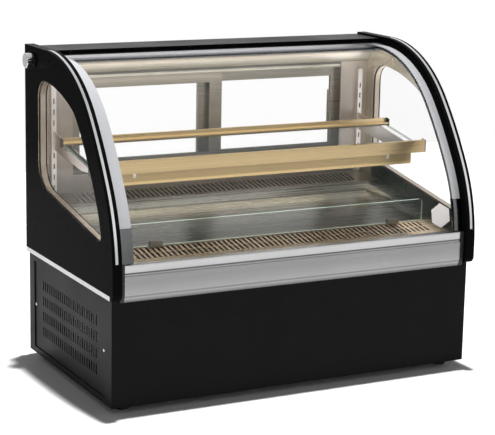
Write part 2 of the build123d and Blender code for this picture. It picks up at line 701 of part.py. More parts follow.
def side_vent_screws():
    seat = BASE_HALF - COVER_POCKET_DEPTH + SHEET
    tip = BASE_HALF - SIDE_FRAME_THICKNESS
    screws = []
    for y, z in cover_screw_places():
        head = rod_x(SCREW_HEAD_RADIUS, seat, seat + SCREW_HEAD_HEIGHT, y, z)
        head = fillet(head.edges().group_by(Axis.X)[-1], SCREW_HEAD_HEIGHT / 2)
        screws += pair(head + rod_x(SCREW_SHANK_RADIUS, tip, seat, y, z))
    return screws


def front_panel():
    ys = (BASE_FRONT_Y, BASE_FRONT_Y + SHEET)
    return [box_between((-BASE_HALF, BASE_HALF), ys, (BASE_BOTTOM_Z, BASE_TOP_Z))]


def base_rear_panel():
    ys = (BASE_REAR_Y - SHEET, BASE_REAR_Y)
    cut_ys = (ys[0] - CUT, ys[1] + CUT)
    plate = box_between((-BASE_HALF, BASE_HALF), ys, (BASE_BOTTOM_Z, BASE_TOP_Z))
    plate -= box_between(
        (CONTROL_X - CONTROL_WIDTH / 2, CONTROL_X + CONTROL_WIDTH / 2),
        cut_ys,
        (CONTROL_Z - CONTROL_HEIGHT / 2, CONTROL_Z + CONTROL_HEIGHT / 2),
    )
    plate -= box_between(
        (INLET_X - INLET_WIDTH / 2, INLET_X + INLET_WIDTH / 2),
        cut_ys,
        (INLET_Z - INLET_HEIGHT / 2, INLET_Z + INLET_HEIGHT / 2),
    )
    vents = GridLocations(REAR_VENT_PITCH, REAR_VENT_PITCH, REAR_VENT_COUNT, 1)
    outline = Sketch() + vents * SlotOverall(REAR_VENT_HEIGHT, REAR_VENT_WIDTH, rotation=90)
    middle = (BASE_BOTTOM_Z + BASE_TOP_Z) / 2
    cutter = extrude(outline, 4 * SHEET, both=True)
    plate -= Pos(REAR_VENT_CENTRE_X, BASE_REAR_Y, middle) * Rot(90, 0, 0) * cutter
    return [plate]


# Side panels, windows, trims and knobs
def panel_outline():
    """Side panel outline with its curved front edge and rounded lower corner."""
    path = curve_path(0.0, PANEL_REAR_Y, BASE_TOP_Z + PANEL_CORNER_RADIUS)
    corner = JernArc(path[-1] @ 1, (0, -1), PANEL_CORNER_RADIUS, 90)
    bottom = Line(corner @ 1, (PANEL_REAR_Y, BASE_TOP_Z))
    rear = Line(bottom @ 1, path[0] @ 0)
    return make_face(Wire([*path, corner, bottom, rear]))


def window_outline(grow):
    """Rounded window that follows the panel's curve and the sloped deck, grown all round."""
    rim = WINDOW_RIM_WIDTH - grow
    rear_y = PANEL_REAR_Y - WINDOW_REAR_MARGIN + grow
    top_z = PANEL_TOP_Z - WINDOW_TOP_MARGIN
    drop = grow / math.cos(math.radians(DISPLAY_SLOPE)) - grow * SLOPE
    rear_z = BASE_TOP_Z + WINDOW_REAR_HEIGHT - drop
    front_z = rear_z + (PANEL_FRONT_Y - rear_y) * SLOPE
    path = curve_path(rim, rear_y, BASE_TOP_Z)
    floor = Line(path[-1] @ 1, (rear_y, BASE_TOP_Z))
    rear = Line(floor @ 1, path[0] @ 0)
    outline = make_face(Wire([*path, floor, rear]))
    above_base = [
        (PANEL_FRONT_Y, front_z),
        (rear_y, rear_z),
        (rear_y, PANEL_TOP_Z),
        (PANEL_FRONT_Y, PANEL_TOP_Z),
    ]
    outline = outline & side_polygon(above_base)
    crown_y = PANEL_REAR_Y - WINDOW_REAR_MARGIN - WINDOW_TOP_CENTRE
    reach = UPPER_RADIUS - WINDOW_RIM_WIDTH
    angle = math.radians(WINDOW_SHOULDER_ANGLE)
    shoulder_y = CROWN_Y - reach * math.sin(angle)
    shoulder_z = PANEL_TOP_Z - UPPER_RADIUS + reach * math.cos(angle)
    sag = top_z - shoulder_z
    top_radius = ((crown_y - shoulder_y) ** 2 + sag**2) / (2 * sag)
    crown = Pos(crown_y, top_z - top_radius) * Circle(top_radius + grow)
    block = extrude(outline & crown, CUT)
    corners = [
        ((rear_y, rear_z), WINDOW_REAR_LOW_RADIUS),
        ((rear_y, top_z + grow), WINDOW_REAR_HIGH_RADIUS),
        ((PANEL_FRONT_Y, front_z), WINDOW_TIP_RADIUS),
        ((shoulder_y, shoulder_z), WINDOW_SHOULDER_RADIUS),
    ]
    for place, radius in corners:
        corner_edges = block.edges().filter_by(Axis.Z)
        nearest = corner_edges.sort_by_distance((place[0], place[1], 0))[0]
        block = fillet(nearest, radius + grow)
    return Pos(0, 0, -CUT) * block.faces().sort_by(Axis.Z)[-1]


def rim_strip(outer_inset):
    """Right-hand rim strip with a slanted upper end."""
    x_end = SIDE_OUTER_X - RIM_TRIM_OUTER_INSET
    x_start = x_end - RIM_TRIM_WIDTH
    low_z = BASE_TOP_Z + RIM_TRIM_END_ABOVE_BASE
    end_y = CROWN_Y + CUT
    face = curved_band(outer_inset, RIM_TRIM_DEPTH, end_y, low_z, PANEL_TOP_Z + 2 * CUT)
    strip = along_x(face, x_start, x_end)
    corners = [(x_start, end_y), (x_end, end_y), (x_start, end_y - RIM_TRIM_TAPER)]
    wedge = extrude(make_face(Polyline(*corners, close=True)), 2 * OVERALL_HEIGHT)
    return strip - wedge


def bottom_strip(thickness):
    """Right-hand strip along the foot of the side panel, ending at the outer face."""
    return box_between(
        (SIDE_OUTER_X - BOTTOM_TRIM_THICKNESS, SIDE_OUTER_X - BOTTOM_TRIM_THICKNESS + thickness),
        (PANEL_FRONT_Y + PANEL_CORNER_RADIUS, PANEL_REAR_Y),
        (BASE_TOP_Z, BASE_TOP_Z + BOTTOM_TRIM_HEIGHT),
    )


def side_panel():
    pocket = window_outline(WINDOW_PANE_LIP)
    panel = along_x(panel_outline(), SIDE_INNER_X, SIDE_OUTER_X)
    panel -= along_x(window_outline(0.0), SIDE_INNER_X - CUT, SIDE_OUTER_X + CUT)
    panel -= along_x(pocket, SIDE_INNER_X + WINDOW_PANE_INSET, SIDE_OUTER_X - WINDOW_PANE_INSET)
    panel -= rim_strip(-CUT)
    panel -= bottom_strip(BOTTOM_TRIM_THICKNESS + CUT)
    pin_end = GLASS_HALF + HINGE_PIN_LENGTH + MOVING_GAP
    pin_hole = HINGE_PIN_RADIUS + RUNNING_GAP
    panel -= rod_x(pin_hole, SIDE_INNER_X - CUT, pin_end, HINGE_Y, HINGE_Z)
    stud_hole = KNOB_STUD_RADIUS + RUNNING_GAP
    panel -= rod_x(stud_hole, SIDE_INNER_X - CUT, SIDE_OUTER_X + CUT, KNOB_Y, KNOB_Z)
    return panel


def side_panel_right():
    return [side_panel()]


def side_panel_left():
    return [mirror(side_panel(), about=Plane.YZ)]


def side_window_panes():
    pocket = window_outline(WINDOW_PANE_LIP)
    inner_x = SIDE_INNER_X + WINDOW_PANE_INSET
    outer_x = SIDE_OUTER_X - WINDOW_PANE_INSET
    inner = along_x(pocket, inner_x, inner_x + WINDOW_PANE_THICKNESS)
    outer = along_x(pocket, outer_x - WINDOW_PANE_THICKNESS, outer_x)
    return pair(inner) + pair(outer)


def side_window_spacers():
    ring = window_outline(WINDOW_SPACER_OUTSIDE) - window_outline(-WINDOW_SPACER_INSIDE)
    edge = WINDOW_PANE_INSET + WINDOW_PANE_THICKNESS
    return pair(along_x(ring, SIDE_INNER_X + edge, SIDE_OUTER_X - edge))


def rim_trims():
    return pair(rim_strip(-RIM_TRIM_PROUD))


def bottom_trims():
    return pair(bottom_strip(BOTTOM_TRIM_THICKNESS))


def knob_washers():
    washer = Cylinder(KNOB_WASHER_RADIUS, KNOB_WASHER_THICKNESS, align=UPRIGHT)
    washer -= Cylinder(KNOB_STUD_RADIUS + RUNNING_GAP, 4 * KNOB_WASHER_THICKNESS)
    return pair(Pos(SIDE_OUTER_X, KNOB_Y, KNOB_Z) * Rot(0, 90, 0) * washer)


def side_knob():
    seat = SIDE_OUTER_X + KNOB_WASHER_THICKNESS + MOVING_GAP
    disc = fluted_disc(KNOB_RADIUS, KNOB_LENGTH, KNOB_FLUTES, KNOB_FLUTE_RADIUS)
    knob = Pos(seat, KNOB_Y, KNOB_Z) * Rot(0, 90, 0) * disc
    stud_start = INNER_HALF - KNOB_STUD_REACH
    return knob + rod_x(KNOB_STUD_RADIUS, stud_start, seat + CUT, KNOB_Y, KNOB_Z)


def side_knob_right():
    return [side_knob()]


def side_knob_left():
    return [mirror(side_knob(), about=Plane.YZ)]


# Front bumper
def front_bumper():
    front = BUMPER_FRONT_Y
    back = front + BUMPER_WALL
    top_front = front + BUMPER_TOP_SETBACK
    band_z = BUMPER_TOP_Z - BUMPER_TOP_BAND
    groove_z = band_z - BUMPER_GROOVE
    groove_y = front + BUMPER_GROOVE_DEPTH
    lip_y = front + BUMPER_LIP_DEPTH
    lip_z = BUMPER_BOTTOM_Z + BUMPER_LIP_RUN
    flange_z = BUMPER_TOP_Z - BUMPER_FLANGE
    profile = [
        (BASE_FRONT_Y, BUMPER_BOTTOM_Z),
        (lip_y, BUMPER_BOTTOM_Z),
        (front, lip_z),
        (front, groove_z),
        (groove_y, groove_z),
        (groove_y, band_z),
        (top_front, band_z),
        (top_front, BUMPER_TOP_Z),
        (GRILLE_FRONT_Y, BUMPER_TOP_Z),
        (GRILLE_FRONT_Y, flange_z),
        (back, flange_z),
        (back, lip_z),
        (BASE_FRONT_Y, BUMPER_BOTTOM_Z + BUMPER_FLANGE),
    ]
    return [along_x(side_polygon(profile), -BUMPER_HALF, BUMPER_HALF)]


def bumper_end_caps():
    front = BUMPER_FRONT_Y - BUMPER_CAP_PROUD
    profile = [
        (BASE_FRONT_Y, BUMPER_BOTTOM_Z),
        (front + BUMPER_LIP_DEPTH, BUMPER_BOTTOM_Z),
        (front, BUMPER_BOTTOM_Z + BUMPER_LIP_RUN),
        (front, BUMPER_TOP_Z),
        (BASE_FRONT_Y, BUMPER_TOP_Z),
    ]
    return pair(along_x(side_polygon(profile), BUMPER_HALF, BUMPER_HALF + BUMPER_CAP_WIDTH))


# Insulated tub, deck tray and grilles
def insulated_tub():
    lip_z = BUMPER_TOP_Z - BUMPER_FLANGE
    profile = [
        (TUB_FRONT_Y, BASE_TOP_Z),
        (BASE_REAR_Y, BASE_TOP_Z),
        (BASE_REAR_Y, SILL_BOTTOM_Z),
        (REAR_WALL_Y, SILL_BOTTOM_Z),
        (GRILLE_FRONT_Y, ledge_z(GRILLE_FRONT_Y) - LINER_SHEET),
        (GRILLE_FRONT_Y, lip_z),
        (TUB_FRONT_Y, lip_z),
    ]
    tub = along_x(side_polygon(profile), -INNER_HALF, INNER_HALF)
    tub -= box_between(
        (-CAVITY_HALF, CAVITY_HALF),
        (GRILLE_FRONT_Y, REAR_WALL_Y),
        (CAVITY_FLOOR_Z, SILL_BOTTOM_Z + CUT),
    )
    hole = Cylinder(PIPE_RADIUS + PIPE_GAP, 4 * TUB_FLOOR)
    tub -= Pos(LIQUID_X, LIQUID_RISE_Y, BASE_TOP_Z) * hole
    tub -= Pos(SUCTION_X, COMPRESSOR_Y, BASE_TOP_Z) * hole
    return [tub]


def deck_tray():
    tray = along_x(
        ledge_strip(GRILLE_FRONT_Y, REAR_WALL_Y, 0.0, LINER_SHEET), -INNER_HALF, INNER_HALF
    )
    well_drop = WELL_DEPTH + LINER_SHEET
    well = ledge_strip(WELL_FRONT_Y, WELL_REAR_Y, 0.0, well_drop)
    tray += along_x(well, -WELL_HALF, WELL_HALF)
    inside_ys = (WELL_FRONT_Y + LINER_SHEET, WELL_REAR_Y - LINER_SHEET)
    inside = ledge_strip(inside_ys[0], inside_ys[1], -CUT, WELL_DEPTH + CUT)
    inside_half = WELL_HALF - LINER_SHEET
    tray -= along_x(inside, -inside_half, inside_half)
    seat_half = GRILLE_HALF - GRILLE_SEAT
    zs = (CAVITY_FLOOR_Z, PANEL_TOP_Z)
    front_ys = (GRILLE_FRONT_Y + GRILLE_SEAT, WELL_FRONT_Y - WELL_RIM)
    rear_ys = (WELL_REAR_Y + WELL_RIM, REAR_WALL_Y - GRILLE_SEAT)
    tray -= box_between((-seat_half, seat_half), front_ys, zs)
    tray -= box_between((-seat_half, seat_half), rear_ys, zs)
    return [tray]


def slotted_plate(y_start, y_end, row_shift):
    """Sheet on the ledge plane with rows of long slots."""
    half = GRILLE_HALF
    plate = along_x(ledge_strip(y_start, y_end, -GRILLE_SHEET, GRILLE_SHEET), -half, half)
    count = int(2 * (half - GRILLE_END_MARGIN) / GRILLE_PITCH) + 1
    places = GridLocations(GRILLE_PITCH, GRILLE_ROW_PITCH, count, GRILLE_ROWS)
    outline = Sketch() + places * Rectangle(GRILLE_SLOT_WIDTH, GRILLE_SLOT_LENGTH)
    centre_y = (y_start + y_end) / 2 + row_shift
    return plate - Pos(0, centre_y, BASE_TOP_Z) * extrude(outline, OVERALL_HEIGHT)


def front_grille():
    return [slotted_plate(GRILLE_FRONT_Y, WELL_FRONT_Y, FRONT_GRILLE_SHIFT)]


def rear_grille():
    return [slotted_plate(WELL_REAR_Y, REAR_WALL_Y, 0.0)]


def deflector_glass():
    half = DEFLECTOR_HALF_WIDTH
    pane = Rectangle(2 * half, DEFLECTOR_HEIGHT, align=(Align.CENTER, Align.MIN))
    pane = fillet(pane.vertices().group_by(Axis.Y)[-1], DEFLECTOR_CORNER)
    upright = Pos(0, DEFLECTOR_REAR_Y, DEFLECTOR_BOTTOM_Z) * Rot(90, 0, 0)
    return [upright * extrude(pane, DEFLECTOR_THICKNESS)]


def deflector_clips():
    front = DEFLECTOR_FRONT_Y - DEFLECTOR_CLIP_WALL
    rear = DEFLECTOR_REAR_Y + DEFLECTOR_CLIP_WALL
    top = DEFLECTOR_BOTTOM_Z + DEFLECTOR_CLIP_HEIGHT
    profile = [
        (front, ledge_z(front) + GRILLE_SHEET),
        (rear, ledge_z(rear) + GRILLE_SHEET),
        (rear, top),
        (DEFLECTOR_REAR_Y, top),
        (DEFLECTOR_REAR_Y, DEFLECTOR_BOTTOM_Z),
        (DEFLECTOR_FRONT_Y, DEFLECTOR_BOTTOM_Z),
        (DEFLECTOR_FRONT_Y, top),
        (front, top),
    ]
    half = DEFLECTOR_CLIP_LENGTH / 2
    face = side_polygon(profile)
    return pair(along_x(face, DEFLECTOR_CLIP_X - half, DEFLECTOR_CLIP_X + half))


# Rear wall and sliding doors
def rear_wall_frame():
    sill = box_between(
        (-INNER_HALF, INNER_HALF), (REAR_WALL_Y, BASE_REAR_Y), (SILL_BOTTOM_Z, SILL_TOP_Z)
    )
    zs = (SILL_TOP_Z, HEADER_BOTTOM_Z)
    jamb = box_between((JAMB_HALF, INNER_HALF), (TRACK_FRONT_Y, BASE_REAR_Y), zs)
    jamb += box_between((JAMB_HALF - JAMB_COVER, INNER_HALF), (REAR_WALL_Y, TRACK_FRONT_Y), zs)
    return [sill, *pair(jamb)]


def door_track(seat_z, direction):
    """Grooved guide for both doors, with its ribs standing in one direction from the seat."""
    reach = TRACK_PLATE + TRACK_RIB_HEIGHT
    face_z = seat_z + direction * TRACK_PLATE
    end_z = seat_z + direction * reach
    xs = (-JAMB_HALF, JAMB_HALF)
    track = box_between(xs, (TRACK_FRONT_Y, TRACK_REAR_Y), (min(seat_z, end_z), max(seat_z, end_z)))
    for door_y in (FRONT_DOOR_Y, REAR_DOOR_Y):
        groove_ys = (door_y - DOOR_SIDE_GAP, door_y + DOOR_THICKNESS + DOOR_SIDE_GAP)
        far_z = end_z + direction * CUT
        groove_zs = (min(face_z, far_z), max(face_z, far_z))
        track -= box_between((-JAMB_HALF - CUT, JAMB_HALF + CUT), groove_ys, groove_zs)
    return track


def door_tracks():
    return [door_track(SILL_TOP_Z, 1), door_track(HEADER_BOTTOM_Z, -1)]


def door_opening(side, y_start, lip, thickness):
    """Block inside the stiles of the left (-1) or right (1) door, grown by lip."""
    inset = DOOR_STILE - lip
    ends = (side * (MEETING_OVERLAP - lip), side * (DOOR_HALF_SPAN - inset))
    centre = y_start + DOOR_THICKNESS / 2
    return box_between(
        (min(ends), max(ends)),
        (centre - thickness / 2, centre + thickness / 2),
        (DOOR_BOTTOM_Z + inset, DOOR_TOP_Z - inset),
    )


def door_frame(side, y_start):
    """Frame of the left (-1) or right (1) door, grooved for its glass."""
    ends = (-side * DOOR_LAP, side * DOOR_HALF_SPAN)
    ys = (y_start, y_start + DOOR_THICKNESS)
    frame = box_between((min(ends), max(ends)), ys, (DOOR_BOTTOM_Z, DOOR_TOP_Z))
    frame -= door_opening(side, y_start, 0.0, DOOR_THICKNESS + 2 * CUT)
    return frame - door_opening(side, y_start, DOOR_GLASS_LIP, DOOR_GLASS)


def pull_block(x_start, y_start, depth, trim):
    """Upright block on a stile, shortened by trim at both ends."""
    middle = (DOOR_BOTTOM_Z + DOOR_TOP_Z) / 2
    half = PULL_HEIGHT / 2 - trim
    zs = (middle - half, middle + half)
    return box_between((x_start, x_start + PULL_WIDTH), (y_start, y_start + depth), zs)


def left_door_frame():
    frame = door_frame(-1, FRONT_DOOR_Y)
    face_y = FRONT_DOOR_Y + DOOR_THICKNESS
    return [frame + pull_block(-DOOR_HALF_SPAN + PULL_INSET, face_y, FLUSH_PULL_DEPTH, 0.0)]


def right_door_frame():
    frame = door_frame(1, REAR_DOOR_Y)
    face_y = REAR_DOOR_Y + DOOR_THICKNESS
    pull_x = DOOR_HALF_SPAN - PULL_INSET - PULL_WIDTH
    handle = pull_block(pull_x, face_y, BAR_PULL_DEPTH, 0.0)
    handle -= pull_block(pull_x, face_y, BAR_PULL_DEPTH - BAR_PULL_WALL, BAR_PULL_WALL)
    return [frame, handle]


def left_door_glass():
    return [door_opening(-1, FRONT_DOOR_Y, DOOR_GLASS_LIP, DOOR_GLASS)]


def right_door_glass():
    return [door_opening(1, REAR_DOOR_Y, DOOR_GLASS_LIP, DOOR_GLASS)]


# Top cap, header and lamps
def top_cap():
    profile = [
        (CAP_FRONT_Y, CAP_TOP_Z - CAP_LIP_HEIGHT),
        (CAP_FRONT_Y, CAP_TOP_Z),
        (CAP_REAR_Y, CAP_TOP_Z),
        (CAP_REAR_Y, CAP_TOP_Z - CAP_REAR_LIP),
        (HEADER_REAR_Y, CAP_TOP_Z - CAP_REAR_LIP),
        (HEADER_REAR_Y, HEADER_TOP_Z),
        (CAP_FRONT_Y + CAP_SHEET, HEADER_TOP_Z),
        (CAP_FRONT_Y + CAP_SHEET, CAP_TOP_Z - CAP_LIP_HEIGHT),
    ]
    return [along_x(side_polygon(profile), -INNER_HALF, INNER_HALF)]


def top_header():
    low_corner = (REAR_WALL_Y, HEADER_BOTTOM_Z)
    flat_end = (HEADER_FRONT_Y + HEADER_FLAT_DEPTH, HEADER_FACE_Z)
    edges = Polyline(
        flat_end,
        (HEADER_FRONT_Y, HEADER_FACE_Z),
        (HEADER_FRONT_Y, HEADER_TOP_Z),
        (HEADER_REAR_Y, HEADER_TOP_Z),
        (HEADER_REAR_Y, HEADER_BOTTOM_Z),
        low_corner,
    )
    scoop = RadiusArc(low_corner, flat_end, HEADER_SCOOP_RADIUS)
    header = along_x(make_face(Wire([*edges.edges(), scoop])), -INNER_HALF, INNER_HALF)
    start = INNER_HALF - KNOB_STUD_REACH - MOVING_GAP
    hole = rod_x(KNOB_STUD_RADIUS + RUNNING_GAP, start, INNER_HALF + CUT, KNOB_Y, KNOB_Z)
    header -= hole
    return [header - mirror(hole, about=Plane.YZ)]


def ceiling_lamp_box(wall, depth):
    """Block under the header, inset by wall and rising depth from the lamp's lower face."""
    half = CEILING_LAMP_HALF - wall
    ys = (HEADER_FRONT_Y + wall, HEADER_FRONT_Y + CEILING_LAMP_DEPTH - wall)
    low_z = HEADER_FACE_Z - CEILING_LAMP_HEIGHT
    return box_between((-half, half), ys, (low_z, low_z + depth))


def ceiling_lamp_housing():
    housing = ceiling_lamp_box(0.0, CEILING_LAMP_HEIGHT)
    return [housing - ceiling_lamp_box(LAMP_WALL, CEILING_LAMP_HEIGHT - LAMP_WALL)]


def shelf_lamp_bar(wall, depth):
    """Bar under the shelf's front rail, inset by wall and rising depth from its lower face."""
    low = -RAIL_SEAT_THICKNESS - SHELF_LAMP_HEIGHT
    face = shelf_strip(
        SHELF_FRONT_Y + wall, SHELF_FRONT_Y + SHELF_LAMP_DEPTH - wall, low, low + depth
    )
    half = SHELF_LAMP_HALF - wall
    return along_x(face, -half, half)


def shelf_lamp_housing():
    housing = shelf_lamp_bar(0.0, SHELF_LAMP_HEIGHT)
    return [housing - shelf_lamp_bar(LAMP_WALL, SHELF_LAMP_HEIGHT - LAMP_WALL)]


def lamp_diffusers():
    ceiling = ceiling_lamp_box(LAMP_WALL, DIFFUSER_THICKNESS)
    return [ceiling, shelf_lamp_bar(LAMP_WALL, DIFFUSER_THICKNESS)]


# Lift-up front glass
def front_glass():
    face = curved_band(
        GLASS_SETBACK,
        GLASS_SETBACK + GLASS_THICKNESS,
        RAIL_FRONT_Y + GLASS_IN_RAIL,
        GLASS_BOTTOM_Z,
        PANEL_TOP_Z,
    )
    half = GLASS_HALF - BAND_WALL
    return [along_x(face, -half, half)]


def glass_top_rail():
    outer_z = PANEL_TOP_Z - GLASS_SETBACK
    rear_y = HINGE_Y + RAIL_REAR_REACH
    zs = (HINGE_Z - RAIL_BELOW_HINGE, HINGE_Z + RAIL_ABOVE_HINGE)
    rail = box_between((-GLASS_HALF, GLASS_HALF), (RAIL_FRONT_Y, rear_y), zs)
    rail -= box_between(
        (-GLASS_HALF + BAND_WALL, GLASS_HALF - BAND_WALL),
        (RAIL_FRONT_Y - CUT, RAIL_FRONT_Y + GLASS_IN_RAIL),
        (outer_z - GLASS_THICKNESS, outer_z),
    )
    pin = rod_x(HINGE_PIN_RADIUS, GLASS_HALF, GLASS_HALF + HINGE_PIN_LENGTH, HINGE_Y, HINGE_Z)
    for end in pair(pin):
        rail += end
    return [rail]


def edge_channel(x_start, x_end, wall, low_z, high_z):
    """Channel round the glass edge between two X planes, closed at the outer one."""
    inner_face = GLASS_SETBACK + GLASS_THICKNESS
    outside = curved_band(GLASS_SETBACK - wall, inner_face + wall, RAIL_FRONT_Y, low_z, high_z)
    inside = curved_band(GLASS_SETBACK, inner_face, RAIL_FRONT_Y + CUT, low_z - CUT, high_z + CUT)
    channel = along_x(outside, x_start, x_end)
    return channel - along_x(inside, x_start - CUT, x_end - BAND_WALL)


def edge_pair(wall, low_z, high_z):
    """Right and left edge channels, each with its own visible width."""
    right = edge_channel(GLASS_HALF - BAND_WIDTH_RIGHT, GLASS_HALF, wall, low_z, high_z)
    left = edge_channel(GLASS_HALF - BAND_WIDTH_LEFT, GLASS_HALF, wall, low_z, high_z)
    return [right, mirror(left, about=Plane.YZ)]


def glass_edge_bands():
    return edge_pair(BAND_WALL, CLAMP_TOP_Z, PANEL_TOP_Z)


def glass_lower_clamps():
    return edge_pair(CLAMP_WALL, GLASS_BOTTOM_Z, CLAMP_TOP_Z)


def hex_label():
    skin = GLASS_SETBACK - LABEL_THICKNESS
    face = curved_band(skin, GLASS_SETBACK, RAIL_FRONT_Y, GLASS_BOTTOM_Z, HINGE_Z)
    sheet = along_x(face, LABEL_CENTRE_X - LABEL_FLAT_WIDTH, LABEL_CENTRE_X + LABEL_FLAT_WIDTH)
    outline = RegularPolygon(LABEL_FLAT_WIDTH / 2, 6, major_radius=False, rotation=30)
    prism = Rot(90, 0, 0) * extrude(outline, OVERALL_DEPTH)
    return [sheet & (Pos(LABEL_CENTRE_X, 0, BUMPER_TOP_Z + LABEL_ABOVE_BUMPER) * prism)]


# Shelf, its rails, brackets and pilasters
def shelf_pilasters():
    half = PILASTER_WIDTH / 2
    zs = (PILASTER_BOTTOM_Z, PILASTER_TOP_Z)
    post = box_between((-half, half), (PILASTER_FRONT_Y, REAR_WALL_Y), zs)
    hollow = half - PILASTER_WALL
    post -= box_between(
        (-hollow, hollow),
        (PILASTER_FRONT_Y + PILASTER_WALL, REAR_WALL_Y + CUT),
        (zs[0] - CUT, zs[1] + CUT),
    )
    run = PILASTER_TOP_Z - PILASTER_BOTTOM_Z - 2 * PILASTER_SLOT_MARGIN
    slot = Box(PILASTER_SLOT_WIDTH, 2 * PILASTER_DEPTH, PILASTER_SLOT_HEIGHT)
    for row in range(int(run / PILASTER_SLOT_PITCH) + 1):
        post -= Pos(0, PILASTER_FRONT_Y, FIRST_SLOT_Z + row * PILASTER_SLOT_PITCH) * slot
    return pair(Pos(PILASTER_X, 0, 0) * post)


def shelf_brackets():
    tip_y = SHELF_FRONT_Y + BRACKET_TIP_SETBACK
    waist_y = PILASTER_FRONT_Y - BRACKET_WAIST_REACH
    profile = [
        (PILASTER_FRONT_Y, SHELF_HEEL_Z),
        (tip_y, shelf_z(tip_y)),
        (tip_y, shelf_z(tip_y) - BRACKET_TIP_HEIGHT),
        (waist_y, shelf_z(waist_y) - BRACKET_WAIST_HEIGHT),
        (PILASTER_FRONT_Y, SHELF_HEEL_Z - BRACKET_HEEL_HEIGHT),
    ]
    half = BRACKET_THICKNESS / 2
    bracket = along_x(side_polygon(profile), PILASTER_X - half, PILASTER_X + half)
    for slot_z in (SHELF_SLOT_Z, SHELF_SLOT_Z - PILASTER_SLOT_PITCH):
        bracket += box_between(
            (PILASTER_X - half, PILASTER_X + half),
            (PILASTER_FRONT_Y, PILASTER_FRONT_Y + BRACKET_HOOK_REACH),
            (slot_z - BRACKET_HOOK_HEIGHT / 2, slot_z + BRACKET_HOOK_HEIGHT / 2),
        )
    return pair(bracket)


def shelf_glass():
    face = shelf_strip(SHELF_FRONT_Y, SHELF_REAR_Y, 0.0, SHELF_GLASS_THICKNESS)
    return [along_x(face, -SHELF_GLASS_HALF, SHELF_GLASS_HALF)]


def shelf_front_rail():
    front = SHELF_FRONT_Y - RAIL_THICKNESS
    back = SHELF_FRONT_Y + RAIL_LIP
    lip_low = FRONT_RAIL_UP - RAIL_THICKNESS
    seat_end = SHELF_FRONT_Y + RAIL_SEAT
    half = SHELF_RAIL_HALF
    rail = along_x(
        shelf_strip(front, SHELF_FRONT_Y, -FRONT_RAIL_DOWN, FRONT_RAIL_UP), -half, half
    )
    rail += along_x(shelf_strip(front, back, lip_low, FRONT_RAIL_UP), -half, half)
    rail += along_x(shelf_strip(front, seat_end, -RAIL_SEAT_THICKNESS, 0.0), -half, half)
    return [rail]


def shelf_rear_rail():
    half = SHELF_RAIL_HALF
    back = SHELF_REAR_Y + REAR_RAIL_BACK
    leg_y = SHELF_REAR_Y - REAR_RAIL_LEG
    leg_top = SHELF_GLASS_THICKNESS + RAIL_THICKNESS
    rail = along_x(shelf_strip(SHELF_REAR_Y, back, 0.0, leg_top), -half, half)
    rail += along_x(shelf_strip(back - RAIL_THICKNESS, back, 0.0, REAR_RAIL_UP), -half, half)
    rail += along_x(shelf_strip(leg_y, back, SHELF_GLASS_THICKNESS, leg_top), -half, half)
    return [rail]


def rail_end_caps():
    xs = (SHELF_RAIL_HALF, SHELF_RAIL_HALF + SHELF_RAIL_CAP)
    front = shelf_strip(
        SHELF_FRONT_Y - RAIL_THICKNESS, SHELF_FRONT_Y + RAIL_SEAT, -FRONT_RAIL_DOWN, FRONT_RAIL_UP
    )
    rear = shelf_strip(
        SHELF_REAR_Y - REAR_RAIL_LEG, SHELF_REAR_Y + REAR_RAIL_BACK, 0.0, REAR_RAIL_UP
    )
    return pair(along_x(front, *xs)) + pair(along_x(rear, *xs))


def lamp_clips():
    """Small angle clips that hold the shelf lamp to the front rail."""
    top = -FRONT_RAIL_DOWN
    low = top - LAMP_CLIP_HEIGHT
    face = shelf_strip(SHELF_FRONT_Y - LAMP_CLIP_WALL, SHELF_FRONT_Y, low, top)
    half = LAMP_CLIP_WIDTH / 2
    return pair(along_x(face, LAMP_CLIP_X - half, LAMP_CLIP_X + half))


# Cooling unit
def compressor():
    can = Cylinder(COMPRESSOR_RADIUS, COMPRESSOR_HEIGHT, align=UPRIGHT)
    can = fillet(can.edges().group_by(Axis.Z)[-1], COMPRESSOR_DOME)
    span = 2 * (COMPRESSOR_RADIUS + COMPRESSOR_MOUNT_RADIUS)
    plate = Box(span, span, COMPRESSOR_PLATE, align=UPRIGHT)
    terminals = Box(
        COMPRESSOR_BOX_WIDTH,
        COMPRESSOR_RADIUS + COMPRESSOR_BOX_REACH,
        COMPRESSOR_BOX_HEIGHT,
        align=(Align.CENTER, Align.MAX, Align.CENTER),
    )
    unit = can + plate + Pos(0, 0, COMPRESSOR_HEIGHT / 2) * terminals
    return [Pos(COMPRESSOR_X, COMPRESSOR_Y, COMPRESSOR_BASE_Z) * unit]


def condenser_coil():
    block = fin_block(CONDENSER_LENGTH, CONDENSER_THICKNESS, CONDENSER_HEIGHT)
    centre_x = CONDENSER_INNER_X - CONDENSER_THICKNESS / 2
    return [Pos(centre_x, CONDENSER_Y, PAN_TOP_Z) * Rot(0, 0, 90) * block]


def condenser_fan_blade():
    wheel = fan_wheel(
        CONDENSER_FAN_RADIUS,
        CONDENSER_HUB_RADIUS,
        CONDENSER_HUB_LENGTH,
        CONDENSER_SHAFT_RADIUS + RUNNING_GAP,
        CONDENSER_BLADES,
        CONDENSER_BLADE_CHORD,
    )
    return [Pos(CONDENSER_HUB_X, CONDENSER_Y, CONDENSER_FAN_Z) * Rot(0, 90, 0) * wheel]


